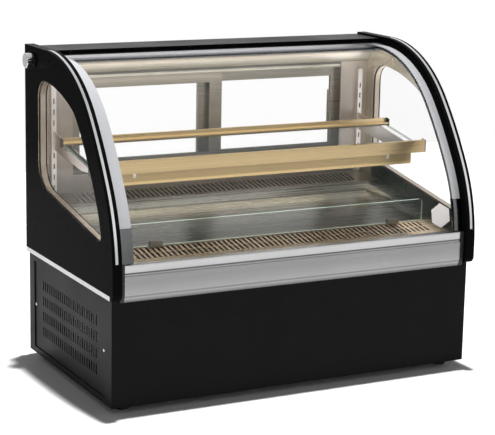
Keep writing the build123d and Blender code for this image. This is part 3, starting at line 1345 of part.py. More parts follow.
def condenser_fan_motor():
    start = CONDENSER_HUB_X + CONDENSER_HUB_LENGTH / 2 + MOTOR_GAP
    end = start + CONDENSER_MOTOR_LENGTH
    shaft_start = CONDENSER_HUB_X - CONDENSER_HUB_LENGTH / 2
    centre = (start + end) / 2
    motor = rod_x(CONDENSER_MOTOR_RADIUS, start, end, CONDENSER_Y, CONDENSER_FAN_Z)
    motor += rod_x(CONDENSER_SHAFT_RADIUS, shaft_start, start, CONDENSER_Y, CONDENSER_FAN_Z)
    motor += box_between(
        (centre - MOTOR_STAND_DEPTH / 2, centre + MOTOR_STAND_DEPTH / 2),
        (CONDENSER_Y - MOTOR_STAND_WIDTH / 2, CONDENSER_Y + MOTOR_STAND_WIDTH / 2),
        (PAN_TOP_Z, CONDENSER_FAN_Z),
    )
    return motor


def evaporator_coil():
    block = fin_block(2 * EVAPORATOR_HALF_WIDTH, EVAPORATOR_DEPTH, EVAPORATOR_HEIGHT)
    return [Pos(0, EVAPORATOR_FRONT_Y + EVAPORATOR_DEPTH / 2, CAVITY_FLOOR_Z) * block]


def evaporator_fan_blade():
    wheel = fan_wheel(
        EVAPORATOR_FAN_RADIUS,
        EVAPORATOR_HUB_RADIUS,
        EVAPORATOR_HUB_LENGTH,
        EVAPORATOR_SHAFT_RADIUS + RUNNING_GAP,
        EVAPORATOR_BLADES,
        EVAPORATOR_BLADE_CHORD,
    )
    return [Pos(0, EVAPORATOR_HUB_Y, EVAPORATOR_FAN_Z) * Rot(-90, 0, 0) * wheel]


def evaporator_fan_motor():
    start = EVAPORATOR_HUB_Y + EVAPORATOR_HUB_LENGTH / 2 + MOTOR_GAP
    end = start + EVAPORATOR_MOTOR_LENGTH
    shaft_start = EVAPORATOR_HUB_Y - EVAPORATOR_HUB_LENGTH / 2
    centre = (start + end) / 2
    motor = rod_y(EVAPORATOR_MOTOR_RADIUS, 0, start, end, EVAPORATOR_FAN_Z)
    motor += rod_y(EVAPORATOR_SHAFT_RADIUS, 0, shaft_start, start, EVAPORATOR_FAN_Z)
    motor += box_between(
        (-EVAPORATOR_STAND_WIDTH / 2, EVAPORATOR_STAND_WIDTH / 2),
        (centre - EVAPORATOR_STAND_DEPTH / 2, centre + EVAPORATOR_STAND_DEPTH / 2),
        (CAVITY_FLOOR_Z, EVAPORATOR_FAN_Z),
    )
    return motor


def fan_motors():
    return [condenser_fan_motor(), evaporator_fan_motor()]


def refrigerant_pipes():
    discharge = pipe(
        (COMPRESSOR_X, COMPRESSOR_Y + COMPRESSOR_RADIUS, DISCHARGE_Z),
        (COMPRESSOR_X, DISCHARGE_Y, DISCHARGE_Z),
        (CONDENSER_INNER_X, DISCHARGE_Y, DISCHARGE_Z),
    )
    liquid = pipe(
        (CONDENSER_INNER_X, LIQUID_Y, LIQUID_Z),
        (LIQUID_X, LIQUID_Y, LIQUID_Z),
        (LIQUID_X, LIQUID_RISE_Y, LIQUID_Z),
        (LIQUID_X, LIQUID_RISE_Y, CAVITY_FLOOR_Z),
    )
    suction = pipe(
        (SUCTION_X, COMPRESSOR_Y, CAVITY_FLOOR_Z),
        (SUCTION_X, COMPRESSOR_Y, SUCTION_Z),
        (COMPRESSOR_X + COMPRESSOR_RADIUS, COMPRESSOR_Y, SUCTION_Z),
    )
    half = DRIER_LENGTH / 2
    drier = rod_x(DRIER_RADIUS, DRIER_X - half, DRIER_X + half, LIQUID_Y, LIQUID_Z)
    return [discharge, liquid + drier, suction]


# Controls and power inlet
def switch_places():
    first = SWITCH_X - SWITCH_SPACING / 2
    return [first, first + SWITCH_SPACING]


def control_box():
    xs = (CONTROL_X - CONTROL_WIDTH / 2, CONTROL_X + CONTROL_WIDTH / 2)
    zs = (CONTROL_Z - CONTROL_HEIGHT / 2, CONTROL_Z + CONTROL_HEIGHT / 2)
    inside_xs = (xs[0] + SHEET, xs[1] - SHEET)
    inside_zs = (zs[0] + SHEET, zs[1] - SHEET)
    front_y = BASE_REAR_Y - CONTROL_BOX_DEPTH
    plate_y = CONTROL_FACE_Y - SHEET
    box = box_between(xs, (front_y, BASE_REAR_Y), zs)
    box -= box_between(inside_xs, (CONTROL_FACE_Y, BASE_REAR_Y + CUT), inside_zs)
    box -= box_between(inside_xs, (front_y - CUT, plate_y), inside_zs)
    for x in switch_places():
        box -= box_between(
            (x - SWITCH_BODY_WIDTH / 2, x + SWITCH_BODY_WIDTH / 2),
            (plate_y - CUT, CONTROL_FACE_Y + CUT),
            (CONTROL_Z - SWITCH_BODY_HEIGHT / 2, CONTROL_Z + SWITCH_BODY_HEIGHT / 2),
        )
    shaft_hole = DIAL_SHAFT_RADIUS + HOLE_CLEARANCE
    box -= rod_y(shaft_hole, DIAL_X, plate_y - CUT, CONTROL_FACE_Y + CUT, CONTROL_Z)
    return [box]


def switch_housing(x):
    bezel_y = SWITCH_FACE_Y - SWITCH_BEZEL_PROUD
    housing = box_between(
        (x - SWITCH_BODY_WIDTH / 2, x + SWITCH_BODY_WIDTH / 2),
        (bezel_y - SWITCH_BODY_DEPTH, bezel_y),
        (CONTROL_Z - SWITCH_BODY_HEIGHT / 2, CONTROL_Z + SWITCH_BODY_HEIGHT / 2),
    )
    housing += box_between(
        (x - SWITCH_BEZEL_WIDTH / 2, x + SWITCH_BEZEL_WIDTH / 2),
        (bezel_y, SWITCH_FACE_Y),
        (CONTROL_Z - SWITCH_BEZEL_HEIGHT / 2, CONTROL_Z + SWITCH_BEZEL_HEIGHT / 2),
    )
    half_x = ROCKER_WIDTH / 2 + ROCKER_SIDE_GAP
    half_z = ROCKER_HEIGHT / 2 + ROCKER_END_GAP
    housing -= box_between(
        (x - half_x, x + half_x),
        (SWITCH_FACE_Y - SWITCH_CAVITY_DEPTH, SWITCH_FACE_Y + CUT),
        (CONTROL_Z - half_z, CONTROL_Z + half_z),
    )
    reach = half_x + ROCKER_PIN_REACH + ROCKER_SIDE_GAP / 2
    pin_hole = ROCKER_PIN_RADIUS + RUNNING_GAP
    return housing - rod_x(pin_hole, x - reach, x + reach, ROCKER_AXIS_Y, CONTROL_Z)


def switch_bodies():
    """Two switch housings and the thermostat body behind the control plate."""
    housings = [switch_housing(x) for x in switch_places()]
    plate_y = CONTROL_FACE_Y - SHEET
    thermostat = box_between(
        (DIAL_X - THERMOSTAT_WIDTH / 2, DIAL_X + THERMOSTAT_WIDTH / 2),
        (plate_y - THERMOSTAT_DEPTH, plate_y),
        (CONTROL_Z - THERMOSTAT_HEIGHT / 2, CONTROL_Z + THERMOSTAT_HEIGHT / 2),
    )
    bore_end = plate_y - DIAL_SHAFT_REACH - MOVING_GAP
    bore = rod_y(DIAL_SHAFT_RADIUS + RUNNING_GAP, DIAL_X, bore_end, plate_y + CUT, CONTROL_Z)
    return [*housings, thermostat - bore]


def rocker(x):
    """Rocker resting with its upper edge pushed in."""
    key = Box(ROCKER_WIDTH, ROCKER_DEPTH, ROCKER_HEIGHT)
    reach = ROCKER_WIDTH / 2 + ROCKER_SIDE_GAP + ROCKER_PIN_REACH
    key += rod_x(ROCKER_PIN_RADIUS, -reach, reach, 0, 0)
    return Pos(x, ROCKER_AXIS_Y, CONTROL_Z) * Rot(ROCKER_TILT, 0, 0) * key


def power_switch_rocker():
    return [rocker(switch_places()[0])]


def light_switch_rocker():
    return [rocker(switch_places()[1])]


def thermostat_knob():
    disc = fluted_disc(DIAL_RADIUS, DIAL_LENGTH, DIAL_FLUTES, KNOB_FLUTE_RADIUS)
    mark = Box(DIAL_MARK_WIDTH, DIAL_RADIUS, DIAL_MARK_WIDTH)
    disc -= Pos(0, -DIAL_RADIUS / 2, DIAL_LENGTH) * mark
    seat = CONTROL_FACE_Y + MOVING_GAP
    knob = Pos(DIAL_X, seat, CONTROL_Z) * Rot(-90, 0, 0) * disc
    shaft_start = CONTROL_FACE_Y - SHEET - DIAL_SHAFT_REACH
    return [knob + rod_y(DIAL_SHAFT_RADIUS, DIAL_X, shaft_start, seat + CUT, CONTROL_Z)]


def power_inlet():
    front_y = BASE_REAR_Y - INLET_DEPTH
    face_y = BASE_REAR_Y + INLET_FLANGE
    xs = (INLET_X - INLET_WIDTH / 2, INLET_X + INLET_WIDTH / 2)
    zs = (INLET_Z - INLET_HEIGHT / 2, INLET_Z + INLET_HEIGHT / 2)
    inlet = box_between(xs, (front_y, BASE_REAR_Y), zs)
    inlet += box_between(
        (INLET_X - INLET_FLANGE_WIDTH / 2, INLET_X + INLET_FLANGE_WIDTH / 2),
        (BASE_REAR_Y, face_y),
        (INLET_Z - INLET_FLANGE_HEIGHT / 2, INLET_Z + INLET_FLANGE_HEIGHT / 2),
    )
    inlet -= box_between(
        (xs[0] + INLET_WALL, xs[1] - INLET_WALL),
        (front_y + INLET_WALL, face_y + CUT),
        (zs[0] + INLET_WALL, zs[1] - INLET_WALL),
    )
    for step in (-1, 0, 1):
        lift = INLET_EARTH_LIFT / 2 if step == 0 else -INLET_EARTH_LIFT / 2
        centre_x = INLET_X + step * INLET_PIN_SPACING
        inlet += box_between(
            (centre_x - INLET_PIN_WIDTH / 2, centre_x + INLET_PIN_WIDTH / 2),
            (front_y, BASE_REAR_Y),
            (INLET_Z + lift - INLET_PIN_HEIGHT / 2, INLET_Z + lift + INLET_PIN_HEIGHT / 2),
        )
    return [inlet]


NODES = [
    rubber_feet,
    base_pan,
    base_side_frames,
    side_vent_covers,
    side_vent_screws,
    front_panel,
    base_rear_panel,
    side_panel_left,
    side_panel_right,
    side_window_panes,
    side_window_spacers,
    rim_trims,
    bottom_trims,
    knob_washers,
    side_knob_left,
    side_knob_right,
    front_bumper,
    bumper_end_caps,
    insulated_tub,
    deck_tray,
    front_grille,
    rear_grille,
    deflector_glass,
    deflector_clips,
    rear_wall_frame,
    door_tracks,
    left_door_frame,
    left_door_glass,
    right_door_frame,
    right_door_glass,
    top_cap,
    top_header,
    ceiling_lamp_housing,
    lamp_diffusers,
    front_glass,
    glass_top_rail,
    glass_edge_bands,
    glass_lower_clamps,
    hex_label,
    shelf_pilasters,
    shelf_brackets,
    shelf_glass,
    shelf_front_rail,
    shelf_rear_rail,
    rail_end_caps,
    shelf_lamp_housing,
    lamp_clips,
    compressor,
    condenser_coil,
    condenser_fan_blade,
    evaporator_coil,
    evaporator_fan_blade,
    fan_motors,
    refrigerant_pipes,
    control_box,
    switch_bodies,
    power_switch_rocker,
    light_switch_rocker,
    thermostat_knob,
    power_inlet,
]

os.makedirs("parts", exist_ok=True)
for make in NODES:
    solids = [solid for shape in make() for solid in shape.solids()]
    export_step(Compound(solids), f"parts/{make.__name__}.step")
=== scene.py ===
import math

import bpy
from mathutils import Matrix, Vector


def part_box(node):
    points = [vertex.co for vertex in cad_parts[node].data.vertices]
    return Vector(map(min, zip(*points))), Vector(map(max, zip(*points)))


# Countertop refrigerated display case: looks, floor, light and camera round the CAD frame.
# Metres, +X to the viewer's right, +Y to the rear, +Z up.

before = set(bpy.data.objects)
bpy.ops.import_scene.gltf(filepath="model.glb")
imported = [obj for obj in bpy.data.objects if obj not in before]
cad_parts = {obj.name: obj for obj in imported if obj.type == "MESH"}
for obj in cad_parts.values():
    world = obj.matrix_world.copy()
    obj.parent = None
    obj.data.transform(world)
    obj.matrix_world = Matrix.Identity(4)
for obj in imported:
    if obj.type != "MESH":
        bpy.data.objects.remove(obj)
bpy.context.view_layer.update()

# Camera fitted to the photograph: angles in radians, sensor in millimetres
CAMERA_PLACE = (-1.7681, -3.3747, 1.1716)
CAMERA_YAW = 0.4813
CAMERA_PITCH = 0.2143
CAMERA_ROLL = 0.0199
FOCAL_PIXELS = 1691.6
IMAGE_WIDTH = 495
SENSOR_WIDTH = 36.0

# Floor and key light
FLOOR_HALF = 2.4
FLOOR_COLOUR = (0.93, 0.925, 0.915)
FLOOR_TONES = (0.985, 1.0)
FLOOR_ROUGHNESS = 0.6
FLOOR_SPECULAR = 0.2
KEY_PLACE = (0.44, 0.72, 12.0)
KEY_TARGET = (0.0, 0.0, 0.0)
KEY_SIZE = 0.45
KEY_POWER = 2050.0

# Studio round the object: even light for matt surfaces, white for the camera, and for metal and
# glass a brightness that changes from below to above and from left to right, each as -1 to 1
AMBIENT = (0.17, 0.168, 0.17)
WHITE = (1.0, 1.0, 1.0)
STUDIO_BY_HEIGHT = ((-1.0, 0.5), (0.0, 0.72), (0.28, 1.0), (0.7, 0.9), (1.0, 0.6))
STUDIO_BY_SIDE = ((-1.0, 0.45), (-0.5, 0.7), (0.2, 0.95), (1.0, 1.0))

# Noise patterns, in waves per metre, and the range that most of a pattern lies in
FLOOR_CLOUD = 3.0
METAL_CLOUD = 6.0
GLASS_SMEAR = 7.0
COAT_CLOUD = 9.0
PLASTIC_CLOUD = 14.0
LAMP_FROST = 60.0
FINE_GRAIN = 900.0
PATTERN_RANGE = (0.3, 0.7)

# Brushed metal: fine streaks and wide streaks, along and across the brushing
BRUSH_ALONG = 3.0
BRUSH_ACROSS = 700.0
WIDE_ALONG = 0.4
WIDE_ACROSS = 0.1
FINE_SHARE = 0.55
WIDE_SHARE = 0.45

# Unevenness of each kind of finish: factors for its darkest and palest spots, and what is added
# to its roughness where it is smoothest and roughest
COAT_TONES, COAT_WEAR = (0.8, 1.25), (-0.04, 0.05)
PLASTIC_TONES, PLASTIC_WEAR = (0.85, 1.2), (-0.05, 0.06)
METAL_WEAR, STREAK_WEAR = (-0.03, 0.03), (-0.05, 0.07)

# Relief: heights and the radius of softened edges in metres, depths as strengths from 0 to 1
COAT_RELIEF = 0.0004
BRUSH_RELIEF = 0.0002
PLASTIC_DEPTH = 0.12
FROST_DEPTH = 0.1
EDGE_SOFTNESS = 0.0007
EDGE_SAMPLES = 4

# A surface that faces along an axis by less than this is an edge or end, seen from that axis
SIDEWAYS = 0.5

# Moulded plastic, frosted lamp covers and sheet glass
PLASTIC_SPECULAR = 0.35
FROST_TONES = (0.85, 1.0)
FROST_ROUGHNESS = (0.4, 0.6)
GLASS_ROUGHNESS = 0.05
GLASS_IOR = 1.5
SMEAR_FACTORS = (0.8, 1.2)
GLOSS_ROUGHNESS = 0.02
LEAST_GLOSS = 0.006
SLANT_POWER = 5.0

# Side panels: black outside, with a steel lining inside. The lining lies behind the front glass,
# within arcs given as (centre y, centre z, radius, lowest z, highest z). The steel carries painted
# light: painted shade, dark, beside the deck, and painted light, pale, at the rear and the top.
PANEL_BLACK = (0.0045, 0.005, 0.0048)
LINING_PAINTED_SHADE = ((0.045, 0.056, 0.049), (0.07, 0.084, 0.074))
LINING_PAINTED_LIGHT = ((0.78, 0.72, 0.58), (0.95, 0.89, 0.77))
LINING_ACROSS = 500.0
PAINTED_LIGHT_BEHIND_Y = (0.165, 0.175)
PAINTED_LIGHT_ABOVE_Z = (0.58, 0.63)
LINING_ARCS = (
    (0.108, 0.299, 0.335, 0.0, 0.476),
    (0.621, 0.013, 0.922, 0.476, 0.616),
    (0.127, 0.4175, 0.2835, 0.616, 1.0),
)
FACE_MARGIN = 0.0005
left_panel_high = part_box("side_panel_left")[1]
LINING_OUTER_X = -left_panel_high[0] + FACE_MARGIN
LINING_REAR_Y = left_panel_high[1] - FACE_MARGIN

# Painted light and shade across a form along Z, as (place, factor or colour) from its lowest place to its
# highest
# Painted reflection and shade on the bumper: a dark lower band for the mirrored floor shadow, dark crease
# lines, a paler top band
BUMPER_PAINTED_REFLECTIONS = (
    (0.244, 0.12), (0.249, 0.24), (0.2535, 0.34), (0.2555, 0.2), (0.2575, 0.22), (0.2595, 0.36),
    (0.27, 0.33), (0.285, 0.29), (0.298, 0.29), (0.303, 0.34), (0.3045, 0.1), (0.3065, 0.12),
    (0.3085, 0.54), (0.319, 0.58), (0.3235, 0.45),
)
# Painted light on the header: pale pink and yellow bands for lamp light, and painted shade, nearly black,
# under the top rail
HEADER_PAINTED_LIGHT = (
    (0.665, (0.6, 0.52, 0.42)), (0.669, (1.0, 0.9, 0.78)), (0.673, (1.0, 0.98, 0.76)),
    (0.6775, (1.0, 0.95, 0.9)), (0.684, (1.0, 0.93, 0.85)), (0.689, (0.8, 0.72, 0.63)),
    (0.692, (0.04, 0.034, 0.026)), (0.7, (0.02, 0.017, 0.013)), (0.725, (0.2, 0.18, 0.15)),
)
# Painted shade on the top rail: its lower face nearly black, its upper face bright
RAIL_PAINTED_SHADE = (
    (0.7, 0.03), (0.7035, 0.04), (0.7055, 0.7), (0.709, 0.85), (0.711, 1.0), (0.716, 1.0),
)
# Painted shade on the door tracks: dark low down and in a band near the top
TRACK_PAINTED_SHADE = (
    (0.43, 0.15), (0.65, 0.9), (0.658, 0.9), (0.6605, 0.2), (0.665, 0.2),
)
# Painted reflection and shade on the deck tray: a bright band on its rear step, darker towards the front
TRAY_PAINTED_REFLECTIONS = (
    (0.309, 0.3), (0.322, 0.17), (0.329, 0.2), (0.334, 0.34), (0.34, 0.42), (0.346, 0.48),
    (0.3515, 0.3), (0.355, 0.5), (0.358, 1.0), (0.369, 1.0), (0.372, 0.6), (0.389, 0.5),
)
# Painted shade on the door frames: dark low down, lighter higher up
DOOR_PAINTED_SHADE = (
    (0.434, 0.13), (0.457, 0.15), (0.49, 0.18), (0.51, 0.62), (0.6, 0.75), (0.634, 0.72),
    (0.645, 0.95), (0.652, 0.8), (0.657, 0.55),
)
# Painted shade on the rear wall: darker towards the bottom
WALL_PAINTED_SHADE = (
    (0.387, 0.4), (0.41, 0.5), (0.44, 0.7), (0.5, 0.82), (0.6, 0.9), (0.64, 0.95), (0.665, 1.0),
)
# Painted shade and highlight on the shelf lamp housing: a bright lower edge, darker towards the top under
# the rail
LAMP_PAINTED_SHADE = (
    (0.456, 1.0), (0.461, 1.0), (0.464, 0.62), (0.478, 0.55), (0.492, 0.4),
)
LAMP_END_COLOUR = (0.02, 0.017, 0.013)

# Painted shade and light along the front grille, as factors from its left end to its right end: darker to
# the left, bright at the right end
GRILLE_PAINTED_LIGHT = (
    (-0.41, 0.42), (0.29, 0.34), (0.32, 1.2), (0.41, 1.2),
)

# Sockets of Blender's Mix and Mix Shader nodes that go by number, because their names repeat
COLOUR_FIRST, COLOUR_SECOND, COLOUR_RESULT = 6, 7, 2
SHADER_FIRST, SHADER_SECOND = 1, 2


def shade(colour, factor):
    return tuple(min(1.0, channel * factor) for channel in colour)


# Node building
class NodeTree:
    """The node tree of a material or world, with short calls for its nodes."""

    def __init__(self, owner, output_kind):
        owner.use_nodes = True
        self.tree = owner.node_tree
        self.tree.nodes.clear()
        self.output = self.add(output_kind)
        self.coords = self.add("ShaderNodeTexCoord")

    def add(self, kind, **values):
        """New node, with values for its inputs."""
        node = self.tree.nodes.new(kind)
        for key, value in values.items():
            node.inputs[key.replace("_", " ")].default_value = value
        return node

    def join(self, start, end):
        self.tree.links.new(start, end)

    def part_of(self, vector, axis):
        """One coordinate of a vector socket."""
        split = self.add("ShaderNodeSeparateXYZ")
        self.join(vector, split.inputs["Vector"])
        return split.outputs[axis]

    def mix_colours(self, first, second, blend_type="MIX"):
        """Mix node between two colours or colour sockets."""
        mix = self.add("ShaderNodeMix")
        mix.data_type = "RGBA"
        mix.blend_type = blend_type
        for end, index in ((first, COLOUR_FIRST), (second, COLOUR_SECOND)):
            if isinstance(end, tuple):
                mix.inputs[index].default_value = (*end, 1.0)
            else:
                self.join(end, mix.inputs[index])
        return mix

    def blend(self, factor, first, second):
        """Colour between two colours or colour sockets, by a factor socket."""
        mix = self.mix_colours(first, second)
        self.join(factor, mix.inputs["Factor"])
        return mix.outputs[COLOUR_RESULT]

    def times(self, first, second):
        """Product of two colour sockets."""
        mix = self.mix_colours(first, second, "MULTIPLY")
        mix.inputs["Factor"].default_value = 1.0
        return mix.outputs[COLOUR_RESULT]

    def spread(self, factor, low, high, start=PATTERN_RANGE[0], end=PATTERN_RANGE[1]):
        """Number from low to high, as a factor socket goes from start to end."""
        ramp = self.add("ShaderNodeMapRange", From_Min=start, From_Max=end, To_Min=low, To_Max=high)
        self.join(factor, ramp.inputs["Value"])
        return ramp.outputs["Result"]

    def reckon(self, operation, *values):
        """Result of a maths operation on sockets or numbers."""
        node = self.add("ShaderNodeMath")
        node.operation = operation
        for value, socket in zip(values, node.inputs):
            if isinstance(value, (int, float)):
                socket.default_value = value
            else:
                self.join(value, socket)
        return node.outputs["Value"]

    def profile(self, coordinate, stops):
        """Colour by a coordinate socket, through (place, grey or colour) stops."""
        low = stops[0][0]
        high = stops[-1][0]
        ramp = self.add("ShaderNodeValToRGB")
        elements = ramp.color_ramp.elements
        while len(elements) < len(stops):
            elements.new(1.0)
        for element, (place, colour) in zip(elements, stops):
            element.position = (place - low) / (high - low)
            channels = colour if isinstance(colour, tuple) else (colour, colour, colour)
            element.color = (*channels, 1.0)
        self.join(self.spread(coordinate, 0.0, 1.0, low, high), ramp.inputs["Fac"])
        return ramp.outputs["Color"]

    def mix_shaders(self, factor, first, second):
        """Shader between two shader sockets, by a factor socket."""
        mix = self.add("ShaderNodeMixShader")
        self.join(factor, mix.inputs["Fac"])
        self.join(first, mix.inputs[SHADER_FIRST])
        self.join(second, mix.inputs[SHADER_SECOND])
        return mix.outputs["Shader"]


class Surface(NodeTree):
    """A node material with one Principled shader."""

    def __init__(self, name):
        self.material = bpy.data.materials.new(name)
        super().__init__(self.material, "ShaderNodeOutputMaterial")
        self.shader = self.add("ShaderNodeBsdfPrincipled")
        self.join(self.shader.outputs["BSDF"], self.output.inputs["Surface"])

    def put(self, **values):
        """Set the Principled shader's own sockets."""
        for key, value in values.items():
            socket = self.shader.inputs[key.replace("_", " ")]
            socket.default_value = (*value, 1.0) if isinstance(value, tuple) else value

    def drive(self, name, socket):
        self.join(socket, self.shader.inputs[name])

    def base_colour(self):
        """The socket that drives the base colour so far."""
        return self.shader.inputs["Base Color"].links[0].from_socket

    def place(self, axis):
        """Object coordinate along one axis."""
        return self.part_of(self.coords.outputs["Object"], axis)

    def facing(self, axis):
        """How far the surface faces along one axis, from 0 to 1."""
        return self.reckon("ABSOLUTE", self.part_of(self.coords.outputs["Normal"], axis))

    def noise(self, scale, detail=3.0, stretch=(1.0, 1.0, 1.0)):
        mapping = self.add("ShaderNodeMapping", Scale=stretch)
        self.join(self.coords.outputs["Object"], mapping.inputs["Vector"])
        noise = self.add("ShaderNodeTexNoise", Scale=scale, Detail=detail)
        self.join(mapping.outputs["Vector"], noise.inputs["Vector"])
        return noise.outputs["Fac"]

    def streaks(self, axis, along, across, detail):
        """Noise drawn out along one axis."""
        stretch = [across, across, across]
        stretch["XYZ".index(axis)] = along
        return self.noise(1.0, detail, tuple(stretch))

    def mottle(self, pattern, colour, tones):
        """Shades of one colour between two factors, by a pattern socket."""
        darkest, palest = tones
        return self.blend(pattern, shade(colour, darkest), shade(colour, palest))

    def wear(self, pattern, roughness, change):
        """Roughness with an uneven change, by a pattern socket."""
        smoother, rougher = change
        return self.spread(pattern, roughness + smoother, roughness + rougher)

    def relief(self, height, strength, distance=COAT_RELIEF):
        """Bump from a height socket, over softened edges."""
        bevel = self.add("ShaderNodeBevel", Radius=EDGE_SOFTNESS)
        bevel.samples = EDGE_SAMPLES
        bump = self.add("ShaderNodeBump", Strength=strength, Distance=distance)
        self.join(height, bump.inputs["Height"])
        self.join(bevel.outputs["Normal"], bump.inputs["Normal"])
        self.drive("Normal", bump.outputs["Normal"])


# Kinds of finish
def painted(name, colour, roughness, specular, grain, depth):
    """Coated sheet: cloudy colour, fine orange-peel relief and uneven gloss."""
    surface = Surface(name)
    surface.put(Specular_IOR_Level=specular)
    cloud = surface.noise(COAT_CLOUD)
    surface.drive("Base Color", surface.mottle(cloud, colour, COAT_TONES))
    surface.drive("Roughness", surface.wear(cloud, roughness, COAT_WEAR))
    surface.relief(surface.noise(grain, detail=2.0), depth)
    return surface


def brushed(
    name, colour, roughness, along, contrast=0.16, depth=0.05, across=BRUSH_ACROSS, painted_light=None,
    metallic=1.0,
):
    """Brushed metal with streaks that run along one axis, and painted light and shade (axis, stops) over
    its form.
    """
    surface = Surface(name)
    surface.put(Metallic=metallic)
    fine = surface.streaks(along, BRUSH_ALONG, across, detail=4.0)
    wide = surface.streaks(along, BRUSH_ALONG * WIDE_ALONG, across * WIDE_ACROSS, detail=3.0)
    both = surface.reckon(
        "ADD", surface.reckon("MULTIPLY", fine, FINE_SHARE), surface.reckon("MULTIPLY", wide, WIDE_SHARE)
    )
    tone = surface.spread(both, 0.0, 1.0)
    metal = surface.mottle(tone, colour, (1.0 - contrast, 1.0 + contrast))
    # Painted light and shade over the form, multiplied into the metal's colour
    if painted_light:
        axis, stops = painted_light
        metal = surface.times(metal, surface.profile(surface.place(axis), stops))
    surface.drive("Base Color", metal)
    streaky = surface.wear(fine, 0.0, STREAK_WEAR)
    cloudy = surface.wear(surface.noise(METAL_CLOUD), roughness, METAL_WEAR)
    surface.drive("Roughness", surface.reckon("ADD", streaky, cloudy))
    surface.relief(fine, depth, BRUSH_RELIEF)
    return surface


def moulded(name, colour, roughness, grain=FINE_GRAIN):
    """Moulded plastic or rubber with a fine matt grain."""
    surface = Surface(name)
    surface.put(Specular_IOR_Level=PLASTIC_SPECULAR)
    cloud = surface.noise(PLASTIC_CLOUD)
    surface.drive("Base Color", surface.mottle(cloud, colour, PLASTIC_TONES))
    surface.drive("Roughness", surface.wear(cloud, roughness, PLASTIC_WEAR))
    surface.relief(surface.noise(grain, detail=2.0), PLASTIC_DEPTH)
    return surface


def clear(name, tint, edge_colour, flat_axis, opacity, glare, edge_opacity=0.75):
    """Sheet glass: see-through faces with gloss that grows at shallow angles, and tinted edges."""
    surface = Surface(name)
    surface.put(Roughness=GLASS_ROUGHNESS, IOR=GLASS_IOR)
    is_edge = surface.reckon("LESS_THAN", surface.facing(flat_axis), SIDEWAYS)
    surface.drive("Base Color", surface.blend(is_edge, tint, edge_colour))
    smear = surface.noise(GLASS_SMEAR, detail=4.0)
    thin = surface.spread(smear, *(opacity * factor for factor in SMEAR_FACTORS))
    solid = surface.reckon("MULTIPLY", is_edge, edge_opacity)
    surface.drive("Alpha", surface.reckon("MAXIMUM", thin, solid))
    gloss = surface.add("ShaderNodeBsdfGlossy", Roughness=GLOSS_ROUGHNESS)
    slant = surface.reckon("POWER", surface.add("ShaderNodeLayerWeight").outputs["Facing"], SLANT_POWER)
    look = surface.mix_shaders(
        surface.spread(slant, LEAST_GLOSS, glare, 0.0, 1.0),
        surface.shader.outputs["BSDF"],
        gloss.outputs["BSDF"],
    )
    surface.join(look, surface.output.inputs["Surface"])
    return surface


def panel_paint(name):
    """Gloss black panel whose inner face and cut edges are steel behind the front glass; the steel carries
    painted shade and light.
    """
    surface = painted(name, PANEL_BLACK, roughness=0.26, specular=0.004, grain=420.0, depth=0.06)
    outward = surface.reckon("ABSOLUTE", surface.place("X"))
    inner_face = surface.reckon("LESS_THAN", outward, LINING_OUTER_X)
    cut_edge = surface.reckon("LESS_THAN", surface.facing("X"), SIDEWAYS)
    before_rear = surface.reckon("LESS_THAN", surface.place("Y"), LINING_REAR_Y)
    lined = surface.reckon("MULTIPLY", surface.reckon("MAXIMUM", inner_face, cut_edge), before_rear)
    for centre_y, centre_z, radius, lowest, highest in LINING_ARCS:
        away_y = surface.reckon("SUBTRACT", surface.place("Y"), centre_y)
        away_z = surface.reckon("SUBTRACT", surface.place("Z"), centre_z)
        square_away = surface.reckon(
            "ADD", surface.reckon("MULTIPLY", away_y, away_y), surface.reckon("MULTIPLY", away_z, away_z)
        )
        within = surface.reckon("LESS_THAN", square_away, radius * radius)
        below = surface.reckon("LESS_THAN", surface.place("Z"), lowest)
        above = surface.reckon("GREATER_THAN", surface.place("Z"), highest)
        allowed = surface.reckon("MAXIMUM", within, surface.reckon("MAXIMUM", below, above))
        lined = surface.reckon("MULTIPLY", lined, allowed)
    streak = surface.streaks("Y", BRUSH_ALONG, LINING_ACROSS, detail=4.0)
    # Painted light on the steel lining: pale towards the rear and the top, painted shade elsewhere
    rear = surface.spread(surface.place("Y"), 0.0, 1.0, *PAINTED_LIGHT_BEHIND_Y)
    top = surface.spread(surface.place("Z"), 0.0, 1.0, *PAINTED_LIGHT_ABOVE_Z)
    steel = surface.blend(
        surface.reckon("MAXIMUM", rear, top),
        surface.blend(streak, *LINING_PAINTED_SHADE),
        surface.blend(streak, *LINING_PAINTED_LIGHT),
    )
    surface.drive("Base Color", surface.blend(lined, surface.base_colour(), steel))
    surface.drive("Metallic", lined)
    return surface


def lamp_metal(name):
    """Champagne lamp housing with dark ends, and painted shade and highlight by height."""
    surface = brushed(
        name, (0.7, 0.52, 0.27), roughness=0.32, along="X", contrast=0.1, painted_light=("Z", LAMP_PAINTED_SHADE)
    )
    is_end = surface.reckon("GREATER_THAN", surface.facing("X"), SIDEWAYS)
    surface.drive("Base Color", surface.blend(is_end, surface.base_colour(), LAMP_END_COLOUR))
    return surface


def lit(name, colour, strength):
    """Frosted lamp cover that glows."""
    surface = Surface(name)
    frost = surface.noise(LAMP_FROST)
    surface.put(Emission_Color=colour, Emission_Strength=strength)
    surface.drive("Base Color", surface.mottle(frost, colour, FROST_TONES))
    surface.drive("Roughness", surface.spread(frost, *FROST_ROUGHNESS))
    surface.relief(frost, FROST_DEPTH)
    return surface


